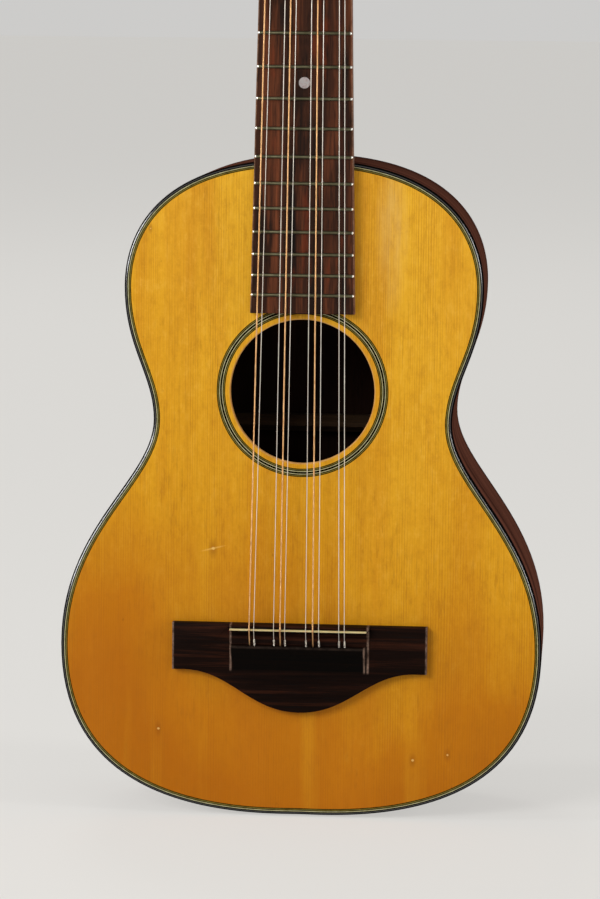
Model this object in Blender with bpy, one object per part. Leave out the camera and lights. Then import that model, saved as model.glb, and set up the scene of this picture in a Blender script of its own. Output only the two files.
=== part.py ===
"""A ten-string tiple: a small steel-strung guitar relative with four courses of strings.

The instrument stands upright, as it hangs: +Z runs up the neck, the soundboard faces -Y, and +X is
the treble side. The soundboard's face lies in the plane y = 0, and z = 0 is the nut's front edge,
where the strings' sounding length starts. Every size below is in millimetres.
"""

import math

import bmesh
import bpy
from mathutils import Matrix, Vector

MM = 0.001
GAP = 0.3

# Strings and frets: the scale length drives the neck, the bridge and the body's place
SCALE_LENGTH = 432.0
SADDLE_COMPENSATION = 2.6

# Body outline: drops are measured from the top edge at the neck, the lower bout's rise from the tail
BODY_LENGTH = 306.0
TAIL_BELOW_SADDLE = 88.7
UPPER_BOUT_WIDTH = 165.8
WAIST_WIDTH = 138.2
LOWER_BOUT_WIDTH = 224.4
UPPER_BOUT_DROP = 59.5
WAIST_DROP = 121.2
LOWER_BOUT_RISE = 78.7
DEPTH_AT_NECK = 67.0
DEPTH_AT_TAIL = 77.0

# Handles of the outline's curves, as lengths along the tangent at each end
TOP_HANDLES = (64.5, 28.1)
FLANK_HANDLES = (28.6, 20.5)
WAIST_HANDLES = (27.9, 55.4)
TAIL_HANDLES = (84.3, 18.8)
TOP_STEPS = 8
FLANK_STEPS = 5
WAIST_STEPS = 7
TAIL_STEPS = 12

# Plates, ribs and the strips that join them
SOUNDBOARD_THICKNESS = 2.6
BACK_THICKNESS = 2.4
RIB_THICKNESS = 1.8
BINDING_WIDTH = 1.6
BINDING_HEIGHT = 4.0
BINDING_ROUND = 1.1
LINING_WIDTH = 5.0
LINING_HEIGHT = 9.0
LINING_FOOT = 3.0
END_STRIP_WIDTH = 6.0
NECK_BLOCK_WIDTH = 46.0
NECK_BLOCK_LENGTH = 28.0
TAIL_BLOCK_WIDTH = 44.0
TAIL_BLOCK_LENGTH = 18.0

# Soundhole and rosette
SOUNDHOLE_DROP = 106.9
SOUNDHOLE_RADIUS = 33.3
ROSETTE_START = 2.5
ROSETTE_WIDTH = 3.9
ROSETTE_THICKNESS = 0.8
SOUNDHOLE_SIDES = 40

# Braces: distance of each below the body's top, width and height
SOUNDBOARD_BRACE_DROPS = (58.0, 156.0)
BACK_BRACE_DROPS = (48.0, 128.5, 222.0)
BRACE_WIDTH = 8.0
BRACE_HEIGHT = 11.0
BRACE_END_HEIGHT = 4.0
BRACE_END_TAPER = 16.0
BRACE_SHOULDER = 0.6
BRACE_CREST = 0.25
BRIDGE_PLATE_SIZE = (136.0, 2.2, 34.0)

# Fingerboard, frets and nut: the board ends above the soundhole, and holds the frets that fit on it
NUT_WIDTH = 36.9
FINGERBOARD_END_WIDTH = 48.2
BOARD_ABOVE_HOLE = 3.1
FINGERBOARD_THICKNESS = 5.0
FINGERBOARD_EDGE = 0.3
FRET_WIDTH = 1.6
FRET_HEIGHT = 1.0
FRET_CROWN = 0.45
FRET_TANG = 0.4
FRET_FROM_END = 4.0
FRET_END_INSET = 0.15
FRET_END_LENGTH = 0.75
FRET_END_SHARE = 0.35
NUT_THICKNESS = 4.5
NUT_HEIGHT = 7.1
NUT_INSET = 0.2
NUT_CORNER = (1.0, 0.8)
DOT_RADIUS = 2.6
DOT_THICKNESS = 1.2
DOT_FRET = 10

# Neck and heel
NECK_DEPTH_AT_NUT = 15.5
NECK_DEPTH_AT_HEEL = 17.5
HEEL_LENGTH = 57.5
HEEL_OVERRUN = 11.0
HEEL_CURVE = 2.2
HEEL_SHARES = (1.1, 1.0, 0.92, 0.84, 0.76, 0.67, 0.57, 0.45, 0.3, 0.12, 0.0)
HEEL_NARROWING = 0.35
HEEL_CAP_THICKNESS = 2.4
NECK_SIDES = 14
NECK_SQUARENESS = 0.9

# Headstock, in its own frame: u up its face, v into its face
HEADSTOCK_TILT = math.radians(14.0)
HEADSTOCK_FACE_Y = -1.5
HEADSTOCK_FACE_Z = NUT_THICKNESS + 0.5
VENEER_THICKNESS = 1.5
HEADSTOCK_THICKNESS = 13.0
HEADSTOCK_SHOULDER_WIDTH = 57.0
HEADSTOCK_TOP_WIDTH = 62.0
HEADSTOCK_TOP_MARGIN = 24.0
HEADSTOCK_FOOT = 0.6
SHOULDER_LENGTH = 26.0

# The shoulders: share of their length, share of their widening, and the section's power
SHOULDER_STEPS = (
    (0.12, 0.08, 0.7),
    (0.31, 0.35, 0.45),
    (0.54, 0.78, 0.25),
    (0.77, 0.97, 0.15),
    (1.0, 1.0, 0.12),
)

# The headstock's soft top edge: drop from the top, narrowing
TOP_EDGE_STEPS = ((3.5, 0.0), (1.0, 2.0), (0.0, 6.0))

# Tuning machines: a worm on each knob's shaft drives the gear on each post
TUNERS_A_SIDE = 5
TUNER_PITCH = 24.0
FIRST_POST_U = 30.0
POST_X = 20.5
POST_RADIUS = 3.0
POST_COLLAR_RADIUS = 4.0
POST_WAIST_RADIUS = 2.5
POST_SIDES = 8

# Heights above the headstock's face: the post's straight foot, waist and head
POST_FOOT_HEIGHT = 2.4
POST_WAIST_START = 3.2
POST_WAIST_END = 7.6
POST_HEAD_START = 8.4
POST_HEIGHT = 10.0
GEAR_TEETH = 14
GEAR_MODULE = 0.8
GEAR_WIDTH = 3.0
GEAR_ADDENDUM = 0.7
GEAR_DEDENDUM = 1.0
GEAR_TOOTH = 1.05
WORM_TOOTH = 1.0
WORM_PITCH_RADIUS = 2.8
WORM_LENGTH = 6.0
WORM_STEPS = 8
WORM_FADE_TURNS = 0.25
WORM_END_PLAY = 1.7
FLANK_ANGLE = math.radians(20.0)
KNOB_SHAFT_RADIUS = 1.5
KNOB_SHAFT_SIDES = 8
KNOB_SHAFT_PAST_LUG = 0.6
TUNER_PLATE_THICKNESS = 1.0
TUNER_PLATE_LOW_MARGIN = 9.0
TUNER_PLATE_HIGH_MARGIN = 6.0
TUNER_PLATE_INNER_MARGIN = 1.2
TUNER_PLATE_OUTER_MARGIN = 0.8
TUNER_PLATE_CORNER = 2.0
LUG_THICKNESS = 1.5
LUG_WIDTH = 5.8
LUG_OVER_SHAFT = 1.2
LUG_SHOULDER = 1.3
LUG_BORE_SIDES = 8
BUTTON_CLEARANCE = 4.7
BUTTON_LENGTH = 16.6
BUTTON_HEIGHT = 16.4
BUTTON_THICKNESS = 7.0
BUTTON_SIDES = 10

# The button: place along it, then share of its height and of its thickness
BUTTON_STATIONS = (
    (0.0, 0.29, 0.68),
    (1.4, 0.32, 0.74),
    (3.4, 0.66, 0.8),
    (8.6, 1.0, 1.0),
    (13.6, 0.84, 0.86),
    (BUTTON_LENGTH, 0.36, 0.4),
)

# Bridge and saddle, with heights above the soundboard
BRIDGE_SPAN = 118.6
BRIDGE_WING_LENGTH = 22.0
BRIDGE_BELLY_DROP = 19.3
BRIDGE_BELLY_SPAN = 108.0
BELLY_HANDLES = (22.2, 23.6)
BELLY_STEPS = 12
BRIDGE_WING_HEIGHT = 4.3
BRIDGE_MIDDLE_SPAN = 64.4
BRIDGE_FRONT_WALL = 1.3
BRIDGE_EDGE = 0.4
LEDGE_HEIGHT = 8.2
TROUGH_HEIGHT = 5.4
TROUGH_START = 3.0
TROUGH_END_DROP = 9.8
BLOCK_HEIGHT = 8.5
BLOCK_CREST = 2.0
BLOCK_END_DROP = 22.8
BLOCK_INSET = 1.7
SADDLE_THICKNESS = 0.8
SADDLE_HEIGHT = 9.9
SADDLE_ROUND = 0.3
SADDLE_CREST = 0.35
SADDLE_END_INSETS = (0.1, 0.8)
SADDLE_SLOT_FLOOR = 2.6
STRING_HOLE_HEIGHT = 6.9
STRING_HOLE_DEPTH = 7.0

# Strings, from bass to treble: place on the saddle, and place on the nut as a share of its half
STRING_AT_SADDLE = (-22.9, -20.75, -11.55, -8.55, -6.4, 3.35, 6.6, 9.35, 18.7, 21.25)
STRING_NUT_SHARES = (-0.851, -0.715, -0.415, -0.285, -0.136, 0.168, 0.306, 0.447, 0.77, 0.905)
WOUND_STRINGS = (0, 3, 6)
WOUND_RADIUS = 0.36
PLAIN_RADIUS = 0.17
NUT_STRING_HEIGHT = 7.0
STRING_TURNS = 1.5
TURN_STEPS = 10
TURN_GAP = 0.45

COLOURS = {
    "spruce": ((0.62, 0.32, 0.06), 0.35, 0.0),
    "rosewood": ((0.06, 0.025, 0.015), 0.4, 0.0),
    "inner_wood": ((0.45, 0.27, 0.12), 0.7, 0.0),
    "mahogany": ((0.16, 0.06, 0.025), 0.4, 0.0),
    "binding": ((0.01, 0.01, 0.01), 0.3, 0.0),
    "inlay": ((0.18, 0.2, 0.12), 0.4, 0.0),
    "bone": ((0.75, 0.68, 0.5), 0.4, 0.0),
    "pearl": ((0.6, 0.6, 0.58), 0.25, 0.0),
    "steel": ((0.6, 0.6, 0.6), 0.3, 1.0),
    "bronze": ((0.6, 0.35, 0.13), 0.35, 1.0),
    "plastic": ((0.72, 0.66, 0.5), 0.35, 0.0),
}


def fret_z(fret):
    """Height of a fret, below the nut."""
    return -SCALE_LENGTH * (1.0 - 2.0 ** (-fret / 12.0))


SADDLE_Z = -SCALE_LENGTH - SADDLE_COMPENSATION
BODY_BOTTOM = SADDLE_Z - TAIL_BELOW_SADDLE
BODY_TOP = BODY_BOTTOM + BODY_LENGTH
SOUNDHOLE_Z = BODY_TOP - SOUNDHOLE_DROP
ROSETTE_INNER_RADIUS = SOUNDHOLE_RADIUS + ROSETTE_START
ROSETTE_OUTER_RADIUS = ROSETTE_INNER_RADIUS + ROSETTE_WIDTH
HEEL_RISE = DEPTH_AT_NECK + HEEL_OVERRUN
FINGERBOARD_END = SOUNDHOLE_Z + SOUNDHOLE_RADIUS + BOARD_ABOVE_HOLE
BRIDGE_FRONT = SADDLE_Z + SADDLE_THICKNESS / 2 + GAP + BRIDGE_FRONT_WALL
GEAR_PITCH_RADIUS = GEAR_MODULE * GEAR_TEETH / 2
WORM_LEAD = math.pi * GEAR_MODULE
WORM_OFFSET = GEAR_PITCH_RADIUS + WORM_PITCH_RADIUS
WORM_OUTER_RADIUS = WORM_PITCH_RADIUS + GEAR_ADDENDUM
WOOD_FRONT = VENEER_THICKNESS + GAP
WOOD_BACK = WOOD_FRONT + HEADSTOCK_THICKNESS
PLATE_FRONT = WOOD_BACK + GAP
PLATE_BACK = PLATE_FRONT + TUNER_PLATE_THICKNESS
GEAR_MIDDLE = PLATE_BACK + GAP + 0.1 + WORM_OUTER_RADIUS
LAST_POST_U = FIRST_POST_U + TUNER_PITCH * (TUNERS_A_SIDE - 1)
HEADSTOCK_LENGTH = LAST_POST_U + HEADSTOCK_TOP_MARGIN
BUTTON_START = HEADSTOCK_TOP_WIDTH / 2 - POST_X + BUTTON_CLEARANCE


# Materials and mesh helpers


def material(name):
    """The named surface, made once."""
    found = bpy.data.materials.get(name)
    if found:
        return found
    colour, roughness, metallic = COLOURS[name]
    made = bpy.data.materials.new(name)
    made.use_nodes = True
    shader = made.node_tree.nodes["Principled BSDF"]
    shader.inputs["Base Color"].default_value = (*colour, 1.0)
    shader.inputs["Roughness"].default_value = roughness
    shader.inputs["Metallic"].default_value = metallic
    made.diffuse_color = (*colour, 1.0)
    return made


def add_object(name, mesh, surface):
    """An object in the scene with its own surface."""
    made = bpy.data.objects.new(name, mesh)
    if surface and not mesh.materials:
        mesh.materials.append(material(surface))
    bpy.context.scene.collection.objects.link(made)
    return made


def mesh_from(name, shape):
    """A mesh from a bmesh drawn in millimetres, with its faces turned outward."""
    bmesh.ops.scale(shape, vec=(MM, MM, MM), verts=shape.verts)
    bmesh.ops.recalc_face_normals(shape, faces=shape.faces)
    mesh = bpy.data.meshes.new(name)
    shape.to_mesh(mesh)
    shape.free()
    return mesh


def smooth(made, angle=35.0):
    """Shades an object's mesh smooth, except across sharp edges."""
    made.data.shade_smooth()
    made.data.set_sharp_from_angle(angle=math.radians(angle))
    return made


def loft_shape(loops, ring=False):
    """A bmesh that joins loops of equal length in turn, closed by caps or back to the first loop."""
    shape = bmesh.new()
    rows = [[shape.verts.new(point) for point in loop] for loop in loops]
    pairs = list(zip(rows, rows[1:]))
    if ring:
        pairs.append((rows[-1], rows[0]))
    for near, far in pairs:
        for i in range(len(near)):
            j = (i + 1) % len(near)
            shape.faces.new((near[i], near[j], far[j], far[i]))
    if not ring:
        shape.faces.new(rows[0])
        shape.faces.new(list(reversed(rows[-1])))
    return shape


def loft(name, loops, surface, ring=False):
    """A solid that joins loops of equal length."""
    return add_object(name, mesh_from(name, loft_shape(loops, ring)), surface)


def hide_tool(tool):
    """Marks a shape that only cuts or adds to another one."""
    tool.hide_render = True
    tool.display_type = "WIRE"
    return tool


def combine(made, tool, operation):
    """Cuts made with tool, joins tool to it, or keeps what they share."""
    hide_tool(tool)
    step = made.modifiers.new(operation.lower(), "BOOLEAN")
    step.operation = operation
    step.solver = "EXACT"
    step.object = tool
    return made


def add_shape(target, shape):
    """Adds a closed shape to a bmesh that already holds finished ones."""
    piece = mesh_from("piece", shape)
    target.from_mesh(piece)
    bpy.data.meshes.remove(piece)


def tool_object(name, shape):
    """A bmesh of finished shapes as one object, to cut or join with."""
    mesh = bpy.data.meshes.new(name)
    shape.to_mesh(mesh)
    shape.free()
    return add_object(name, mesh, None)


def box_tool(name, low, high):
    """A box between two corners, to cut or join with."""
    loops = [
        [(low[0], low[1], z), (high[0], low[1], z), (high[0], high[1], z), (low[0], high[1], z)]
        for z in (low[2], high[2])
    ]
    return loft(name, loops, None)


def circle(radius, sides, phase=0.0):
    """Points round a circle in its own plane."""
    turns = [2.0 * math.pi * (i + phase) / sides for i in range(sides)]
    return [(radius * math.cos(t), radius * math.sin(t)) for t in turns]


def bore_radius(shaft_radius, sides):
    """The corner radius of a bore whose flats clear a turning shaft by the gap."""
    return (shaft_radius + GAP) / math.cos(math.pi / sides)


# The body's outline


def bezier(p0, p1, p2, p3, steps):
    """(point, tangent) pairs along a cubic curve, without its last point."""
    pairs = []
    for i in range(steps):
        t = i / steps
        s = 1.0 - t
        point = s**3 * p0 + 3 * s * s * t * p1 + 3 * s * t * t * p2 + t**3 * p3
        tangent = s * s * (p1 - p0) + 2 * s * t * (p2 - p1) + t * t * (p3 - p2)
        pairs.append((point, tangent.normalized()))
    return pairs


def half_outline(inset=0.0):
    """(x, z) points of the treble half, from the top centre to the tail centre, moved inward by inset."""
    top = Vector((0.0, BODY_TOP))
    upper = Vector((UPPER_BOUT_WIDTH / 2, BODY_TOP - UPPER_BOUT_DROP))
    waist = Vector((WAIST_WIDTH / 2, BODY_TOP - WAIST_DROP))
    lower = Vector((LOWER_BOUT_WIDTH / 2, BODY_BOTTOM + LOWER_BOUT_RISE))
    tail = Vector((0.0, BODY_BOTTOM))
    across = Vector((1.0, 0.0))
    down = Vector((0.0, -1.0))
    stretches = (
        (top, across, TOP_HANDLES, down, upper, TOP_STEPS),
        (upper, down, FLANK_HANDLES, down, waist, FLANK_STEPS),
        (waist, down, WAIST_HANDLES, down, lower, WAIST_STEPS),
        (lower, down, TAIL_HANDLES, -across, tail, TAIL_STEPS),
    )
    points = []
    for start, leave, handles, arrive, end, steps in stretches:
        near = start + leave * handles[0]
        far = end - arrive * handles[1]
        for point, tangent in bezier(start, near, far, end, steps):
            points.append((point.x + tangent.y * inset, point.y - tangent.x * inset))
    points.append((0.0, BODY_BOTTOM + inset))
    return points


def outline(inset=0.0):
    """(x, z) points once round the body."""
    half = half_outline(inset)
    return half + [(-x, z) for x, z in reversed(half[1:-1])]


def half_path(inset, top_x, tail_x):
    """The treble half from x = top_x at the top to x = tail_x at the tail."""
    half = half_outline(inset)
    widest = max(range(len(half)), key=lambda i: half[i][0])
    points = []
    for i, ((xa, za), (xb, zb)) in enumerate(zip(half, half[1:])):
        limit = top_x if i < widest else tail_x
        if xa >= limit:
            points.append((xa, za))
        if min(xa, xb) < limit < max(xa, xb):
            points.append((limit, za + (zb - za) * (limit - xa) / (xb - xa)))
    return points


def depth(z):
    """The back's distance behind the soundboard's face."""
    return DEPTH_AT_NECK + (DEPTH_AT_TAIL - DEPTH_AT_NECK) * (BODY_TOP - z) / BODY_LENGTH


def from_front(y):
    """A depth measured from the soundboard's face."""
    return lambda z: y


def from_back(y):
    """A depth measured inward from the back's outer face."""
    return lambda z: depth(z) - y


def slab(name, points, front, back, surface):
    """A plate with the given (x, z) outline between two depths, which may follow the back."""
    loops = [[(x, side(z), z) for x, z in points] for side in (front, back)]
    return loft(name, loops, surface)


def edge_ring(name, section, surface):
    """A closed strip round the body. Its section is a list of (inset, depth rule)."""
    loops = [[(x, rule(z), z) for x, z in outline(inset)] for inset, rule in section]
    return loft(name, loops, surface, ring=True)


def edge_strip(name, section, side, top_x, tail_x, surface):
    """An open strip along one half of the body, on the side given as -1 or 1."""
    paths = [half_path(inset, top_x, tail_x) for inset, rule in section]
    loops = []
    for i in range(len(paths[0])):
        corners = [(path[i], rule) for path, (inset, rule) in zip(paths, section)]
        loops.append([(side * x, rule(z), z) for (x, z), rule in corners])
    return loft(name, loops, surface)


# Body pieces


def make_soundboard():
    """The soundboard, with the soundhole and the rosette's channel."""
    inset = BINDING_WIDTH + GAP
    board = slab("soundboard", outline(inset), from_front(0.0), from_front(SOUNDBOARD_THICKNESS), "spruce")
    hole = disc_tool("soundhole_cutter", SOUNDHOLE_RADIUS, -1.0, SOUNDBOARD_THICKNESS + 1.0)
    combine(board, hole, "DIFFERENCE")
    channel = washer("channel_cutter", ROSETTE_INNER_RADIUS - GAP, ROSETTE_OUTER_RADIUS + GAP, -1.0,
                     ROSETTE_THICKNESS + GAP, None)
    combine(board, channel, "DIFFERENCE")
    washer("rosette", ROSETTE_INNER_RADIUS, ROSETTE_OUTER_RADIUS, 0.0, ROSETTE_THICKNESS, "inlay")


def disc_tool(name, radius, front, back):
    """A cylinder on the soundhole's axis, to cut with."""
    loops = [
        [(x, y, SOUNDHOLE_Z + z) for x, z in circle(radius, SOUNDHOLE_SIDES)] for y in (front, back)
    ]
    return loft(name, loops, None)


def washer(name, inner, outer, front, back, surface):
    """A flat ring on the soundhole's axis."""
    corners = ((inner, front), (outer, front), (outer, back), (inner, back))
    loops = [
        [(x, y, SOUNDHOLE_Z + z) for x, z in circle(radius, SOUNDHOLE_SIDES)] for radius, y in corners
    ]
    return loft(name, loops, surface, ring=True)


def make_bindings():
    """The front and back bindings, with their outer edges softened."""
    for name, rule in (("front_binding", from_front), ("back_binding", from_back)):
        section = (
            (0.0, rule(BINDING_ROUND)),
            (BINDING_ROUND, rule(0.0)),
            (BINDING_WIDTH, rule(0.0)),
            (BINDING_WIDTH, rule(BINDING_HEIGHT)),
            (0.0, rule(BINDING_HEIGHT)),
        )
        smooth(edge_ring(name, section, "binding"))


def make_ribs():
    """The two bent sides and the strip that covers their joint at the tail."""
    front = from_front(BINDING_HEIGHT + GAP)
    back = from_back(BINDING_HEIGHT + GAP)
    section = ((0.0, front), (RIB_THICKNESS, front), (RIB_THICKNESS, back), (0.0, back))
    tail_x = END_STRIP_WIDTH / 2 + GAP
    for name, side in (("side_bass", -1), ("side_treble", 1)):
        smooth(edge_strip(name, section, side, GAP / 2, tail_x, "rosewood"))
    half = END_STRIP_WIDTH / 2
    path = [(x, BODY_BOTTOM) for x in (-half, half)]
    inner = [(x, z + RIB_THICKNESS) for x, z in reversed(path)]
    slab("end_strip", path + inner, front, back, "binding")


def make_linings():
    """The strips that join the ribs to the soundboard and to the back."""
    outer = RIB_THICKNESS + GAP
    top_x = NECK_BLOCK_WIDTH / 2 + GAP
    tail_x = TAIL_BLOCK_WIDTH / 2 + GAP
    for plate, rule, thickness in (
        ("front", from_front, SOUNDBOARD_THICKNESS),
        ("back", from_back, BACK_THICKNESS),
    ):
        near = thickness + GAP
        section = (
            (outer, rule(near)),
            (outer + LINING_WIDTH, rule(near)),
            (outer + LINING_WIDTH, rule(near + LINING_FOOT)),
            (outer, rule(near + LINING_HEIGHT)),
        )
        for side_name, side in (("bass", -1), ("treble", 1)):
            edge_strip(f"lining_{plate}_{side_name}", section, side, top_x, tail_x, "inner_wood")


def make_back():
    """The back plate."""
    inset = BINDING_WIDTH + GAP
    slab("back", outline(inset), from_back(BACK_THICKNESS), from_back(0.0), "rosewood")


def make_blocks():
    """The neck block and the tail block, shaped to the ribs that they hold."""
    front = SOUNDBOARD_THICKNESS + GAP
    inset = RIB_THICKNESS + GAP
    blocks = (
        ("neck_block", NECK_BLOCK_WIDTH, BODY_TOP - inset - NECK_BLOCK_LENGTH, BODY_TOP + 5.0),
        ("tail_block", TAIL_BLOCK_WIDTH, BODY_BOTTOM - 5.0, BODY_BOTTOM + inset + TAIL_BLOCK_LENGTH),
    )
    for name, width, low, high in blocks:
        half = width / 2
        corners = [(-half, low), (half, low), (half, high), (-half, high)]
        block = slab(name, corners, from_front(front), from_back(BACK_THICKNESS + GAP), "inner_wood")
        inside = slab(name + "_outline", outline(inset), from_front(0.0), from_back(0.0), None)
        combine(block, inside, "INTERSECT")


def body_half_width(z, inset):
    """Half the body's width at a height, moved inward by inset."""
    half = half_outline(inset)
    for (xa, za), (xb, zb) in zip(half, half[1:]):
        if za >= z >= zb and za != zb:
            return xa + (xb - xa) * (za - z) / (za - zb)
    return 0.0


def brace(name, z, rule, height, away):
    """A bar glued across a plate, with tapered ends that tuck under the linings."""
    half = BRACE_WIDTH / 2
    inset = RIB_THICKNESS + LINING_WIDTH + 2 * GAP
    reach = min(body_half_width(z + dz, inset) for dz in (-half, 0.0, half)) - GAP
    stations = (
        (-reach, BRACE_END_HEIGHT),
        (-reach + BRACE_END_TAPER, height),
        (reach - BRACE_END_TAPER, height),
        (reach, BRACE_END_HEIGHT),
    )
    loops = []
    for x, tall in stations:
        side = ((half, 0.0), (half, BRACE_SHOULDER * tall), (BRACE_CREST * half, tall))
        section = side + tuple((-dz, rise) for dz, rise in reversed(side))
        loops.append([(x, rule(away + rise)(z + dz), z + dz) for dz, rise in section])
    return loft(name, loops, "inner_wood")


def make_braces():
    """The bars under the soundboard and on the back, and the plate under the bridge."""
    near_top = SOUNDBOARD_THICKNESS + GAP
    near_back = BACK_THICKNESS + GAP
    for name, drop in zip(("upper", "lower"), SOUNDBOARD_BRACE_DROPS):
        brace(f"soundboard_brace_{name}", BODY_TOP - drop, from_front, BRACE_HEIGHT, near_top)
    for name, drop in zip(("upper", "middle", "lower"), BACK_BRACE_DROPS):
        brace(f"back_brace_{name}", BODY_TOP - drop, from_back, BRACE_HEIGHT, near_back)
    width, thick, tall = BRIDGE_PLATE_SIZE
    middle = BRIDGE_FRONT - BRIDGE_WING_LENGTH
    corners = [(-width / 2, middle - tall / 2), (width / 2, middle - tall / 2),
               (width / 2, middle + tall / 2), (-width / 2, middle + tall / 2)]
    slab("bridge_plate", corners, from_front(near_top), from_front(near_top + thick), "inner_wood")


# Bridge and saddle


def bridge_outline():
    """(x, z) points round the bridge: straight wings and a curved belly below the middle."""
    half = BRIDGE_SPAN / 2
    wing_end = BRIDGE_FRONT - BRIDGE_WING_LENGTH
    belly_half = BRIDGE_BELLY_SPAN / 2
    start = Vector((belly_half, wing_end))
    bottom = Vector((0.0, wing_end - BRIDGE_BELLY_DROP))
    near = start - Vector((BELLY_HANDLES[0], 0.0))
    far = bottom + Vector((BELLY_HANDLES[1], 0.0))
    belly = [tuple(point) for point, tangent in bezier(start, near, far, bottom, BELLY_STEPS)]
    treble = [(half, BRIDGE_FRONT), (half, wing_end)] + belly
    return treble + [tuple(bottom)] + [(-x, z) for x, z in reversed(treble)]


def make_bridge():
    """The bridge: a flat base, a raised middle with the saddle's slot, a trough and the string block."""
    base = slab("bridge", bridge_outline(), from_front(-BRIDGE_WING_HEIGHT), from_front(-GAP), "rosewood")
    half = BRIDGE_MIDDLE_SPAN / 2
    foot = -BRIDGE_WING_HEIGHT / 2
    slot_front = SADDLE_Z + SADDLE_THICKNESS / 2 + GAP
    slot_back = SADDLE_Z - SADDLE_THICKNESS / 2 - GAP
    block_front = BRIDGE_FRONT - TROUGH_END_DROP
    face = BRIDGE_FRONT - BRIDGE_EDGE / 8
    middle = (
        (foot, face),
        (-LEDGE_HEIGHT + BRIDGE_EDGE, face),
        (-LEDGE_HEIGHT, BRIDGE_FRONT - BRIDGE_EDGE),
        (-LEDGE_HEIGHT, slot_front),
        (-SADDLE_SLOT_FLOOR, slot_front),
        (-SADDLE_SLOT_FLOOR, slot_back),
        (-LEDGE_HEIGHT, slot_back),
        (-TROUGH_HEIGHT, slot_back - TROUGH_START),
        (-TROUGH_HEIGHT, block_front + BRIDGE_EDGE),
        (foot, block_front + BRIDGE_EDGE),
    )
    raised = loft("bridge_middle", [[(x, y, z) for y, z in middle] for x in (-half, half)], None)
    block = (
        (foot, block_front + 2 * BRIDGE_EDGE),
        (-TROUGH_HEIGHT, block_front + 1.5 * BRIDGE_EDGE),
        (-BLOCK_HEIGHT + BRIDGE_EDGE, block_front),
        (-BLOCK_HEIGHT, block_front - 1.5 * BRIDGE_EDGE),
        (-BLOCK_HEIGHT + BRIDGE_EDGE / 4, block_front - BLOCK_CREST),
        (foot, BRIDGE_FRONT - BLOCK_END_DROP),
    )
    ends = (-half + BRIDGE_EDGE / 4, half - BLOCK_INSET)
    string_block = loft("bridge_block", [[(x, y, z) for y, z in block] for x in ends], None)
    combine(base, raised, "UNION")
    combine(base, string_block, "UNION")
    slot = box_tool("saddle_slot", (-half - 1.0, -LEDGE_HEIGHT - 1.0, slot_back),
                    (half + 1.0, -SADDLE_SLOT_FLOOR, slot_front))
    combine(base, slot, "DIFFERENCE")
    for i, x in enumerate(STRING_AT_SADDLE):
        combine(base, string_hole(i, x), "DIFFERENCE")


def string_hole(i, x):
    """A blind hole in the front of the string block, along the string that ends in it."""
    radius = string_radius(i) + GAP
    mouth = Vector((x, -STRING_HOLE_HEIGHT, BRIDGE_FRONT - TROUGH_END_DROP))
    direction = (mouth - saddle_top(i)).normalized()
    loops = []
    for along in (-3.0, STRING_HOLE_DEPTH + GAP):
        centre = mouth + direction * along
        loops.append([tuple(centre + Vector((a, b, 0.0))) for a, b in circle(radius, 8, 0.5)])
    return loft(f"string_hole_{i + 1}", loops, None)


def make_saddle():
    """The saddle, a thin bone strip with a rounded top."""
    half = BRIDGE_MIDDLE_SPAN / 2
    thick = SADDLE_THICKNESS / 2
    front = (
        (-SADDLE_SLOT_FLOOR - GAP, thick),
        (-SADDLE_HEIGHT + SADDLE_ROUND, thick),
        (-SADDLE_HEIGHT, SADDLE_CREST * thick),
    )
    section = front + tuple((y, -z) for y, z in reversed(front))
    bass_inset, treble_inset = SADDLE_END_INSETS
    ends = (-half + bass_inset, half - treble_inset)
    loft("saddle", [[(x, y, SADDLE_Z + z) for y, z in section] for x in ends], "bone")


# Fingerboard, frets, nut and dot


def fingerboard_half_width(z):
    """Half the fingerboard's width at a height."""
    share = z / FINGERBOARD_END
    return (NUT_WIDTH + (FINGERBOARD_END_WIDTH - NUT_WIDTH) * share) / 2


def fret_shape(z):
    """One fret: a crown with domed ends, whose tang is set in the board."""
    half = fingerboard_half_width(z)
    width = FRET_WIDTH / 2
    face = -GAP - FINGERBOARD_THICKNESS
    tip = half - FRET_END_INSET
    full = tip - FRET_END_LENGTH
    loops = []
    for x, share in ((-tip, FRET_END_SHARE), (-full, 1.0), (full, 1.0), (tip, FRET_END_SHARE)):
        crown = -FRET_HEIGHT * share
        top = FRET_CROWN * width
        section = ((FRET_TANG, -width), (crown, -top), (crown, top), (FRET_TANG, width))
        loops.append([(x, face + y, z + dz) for y, dz in section])
    return loft_shape(loops)


def make_fingerboard():
    """The tapered board with its frets set in it and a pocket for the dot."""
    loops = []
    for z in (FINGERBOARD_END, -GAP):
        half = fingerboard_half_width(z)
        face = -GAP - FINGERBOARD_THICKNESS
        side = [(half, -GAP), (half, face + FINGERBOARD_EDGE), (half - FINGERBOARD_EDGE, face)]
        loops.append([(x, y, z) for x, y in side + [(-x, y) for x, y in reversed(side)]])
    board = loft("fingerboard", loops, "rosewood")
    frets = bmesh.new()
    fret = 1
    while fret_z(fret) > FINGERBOARD_END + FRET_FROM_END:
        add_shape(frets, fret_shape(fret_z(fret)))
        fret += 1
    combine(board, tool_object("frets", frets), "UNION")
    combine(board, dot_shape("dot_pocket", GAP, None), "DIFFERENCE")


def dot_shape(name, grow, surface):
    """The round dot between two frets, or its pocket when grow is set."""
    z = (fret_z(DOT_FRET) + fret_z(DOT_FRET - 1)) / 2
    face = -GAP - FINGERBOARD_THICKNESS
    ends = (face - (1.0 if grow else 0.0), face + DOT_THICKNESS + grow)
    loops = [[(x, y, z + dz) for x, dz in circle(DOT_RADIUS + grow, 16)] for y in ends]
    return loft(name, loops, surface)


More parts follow.
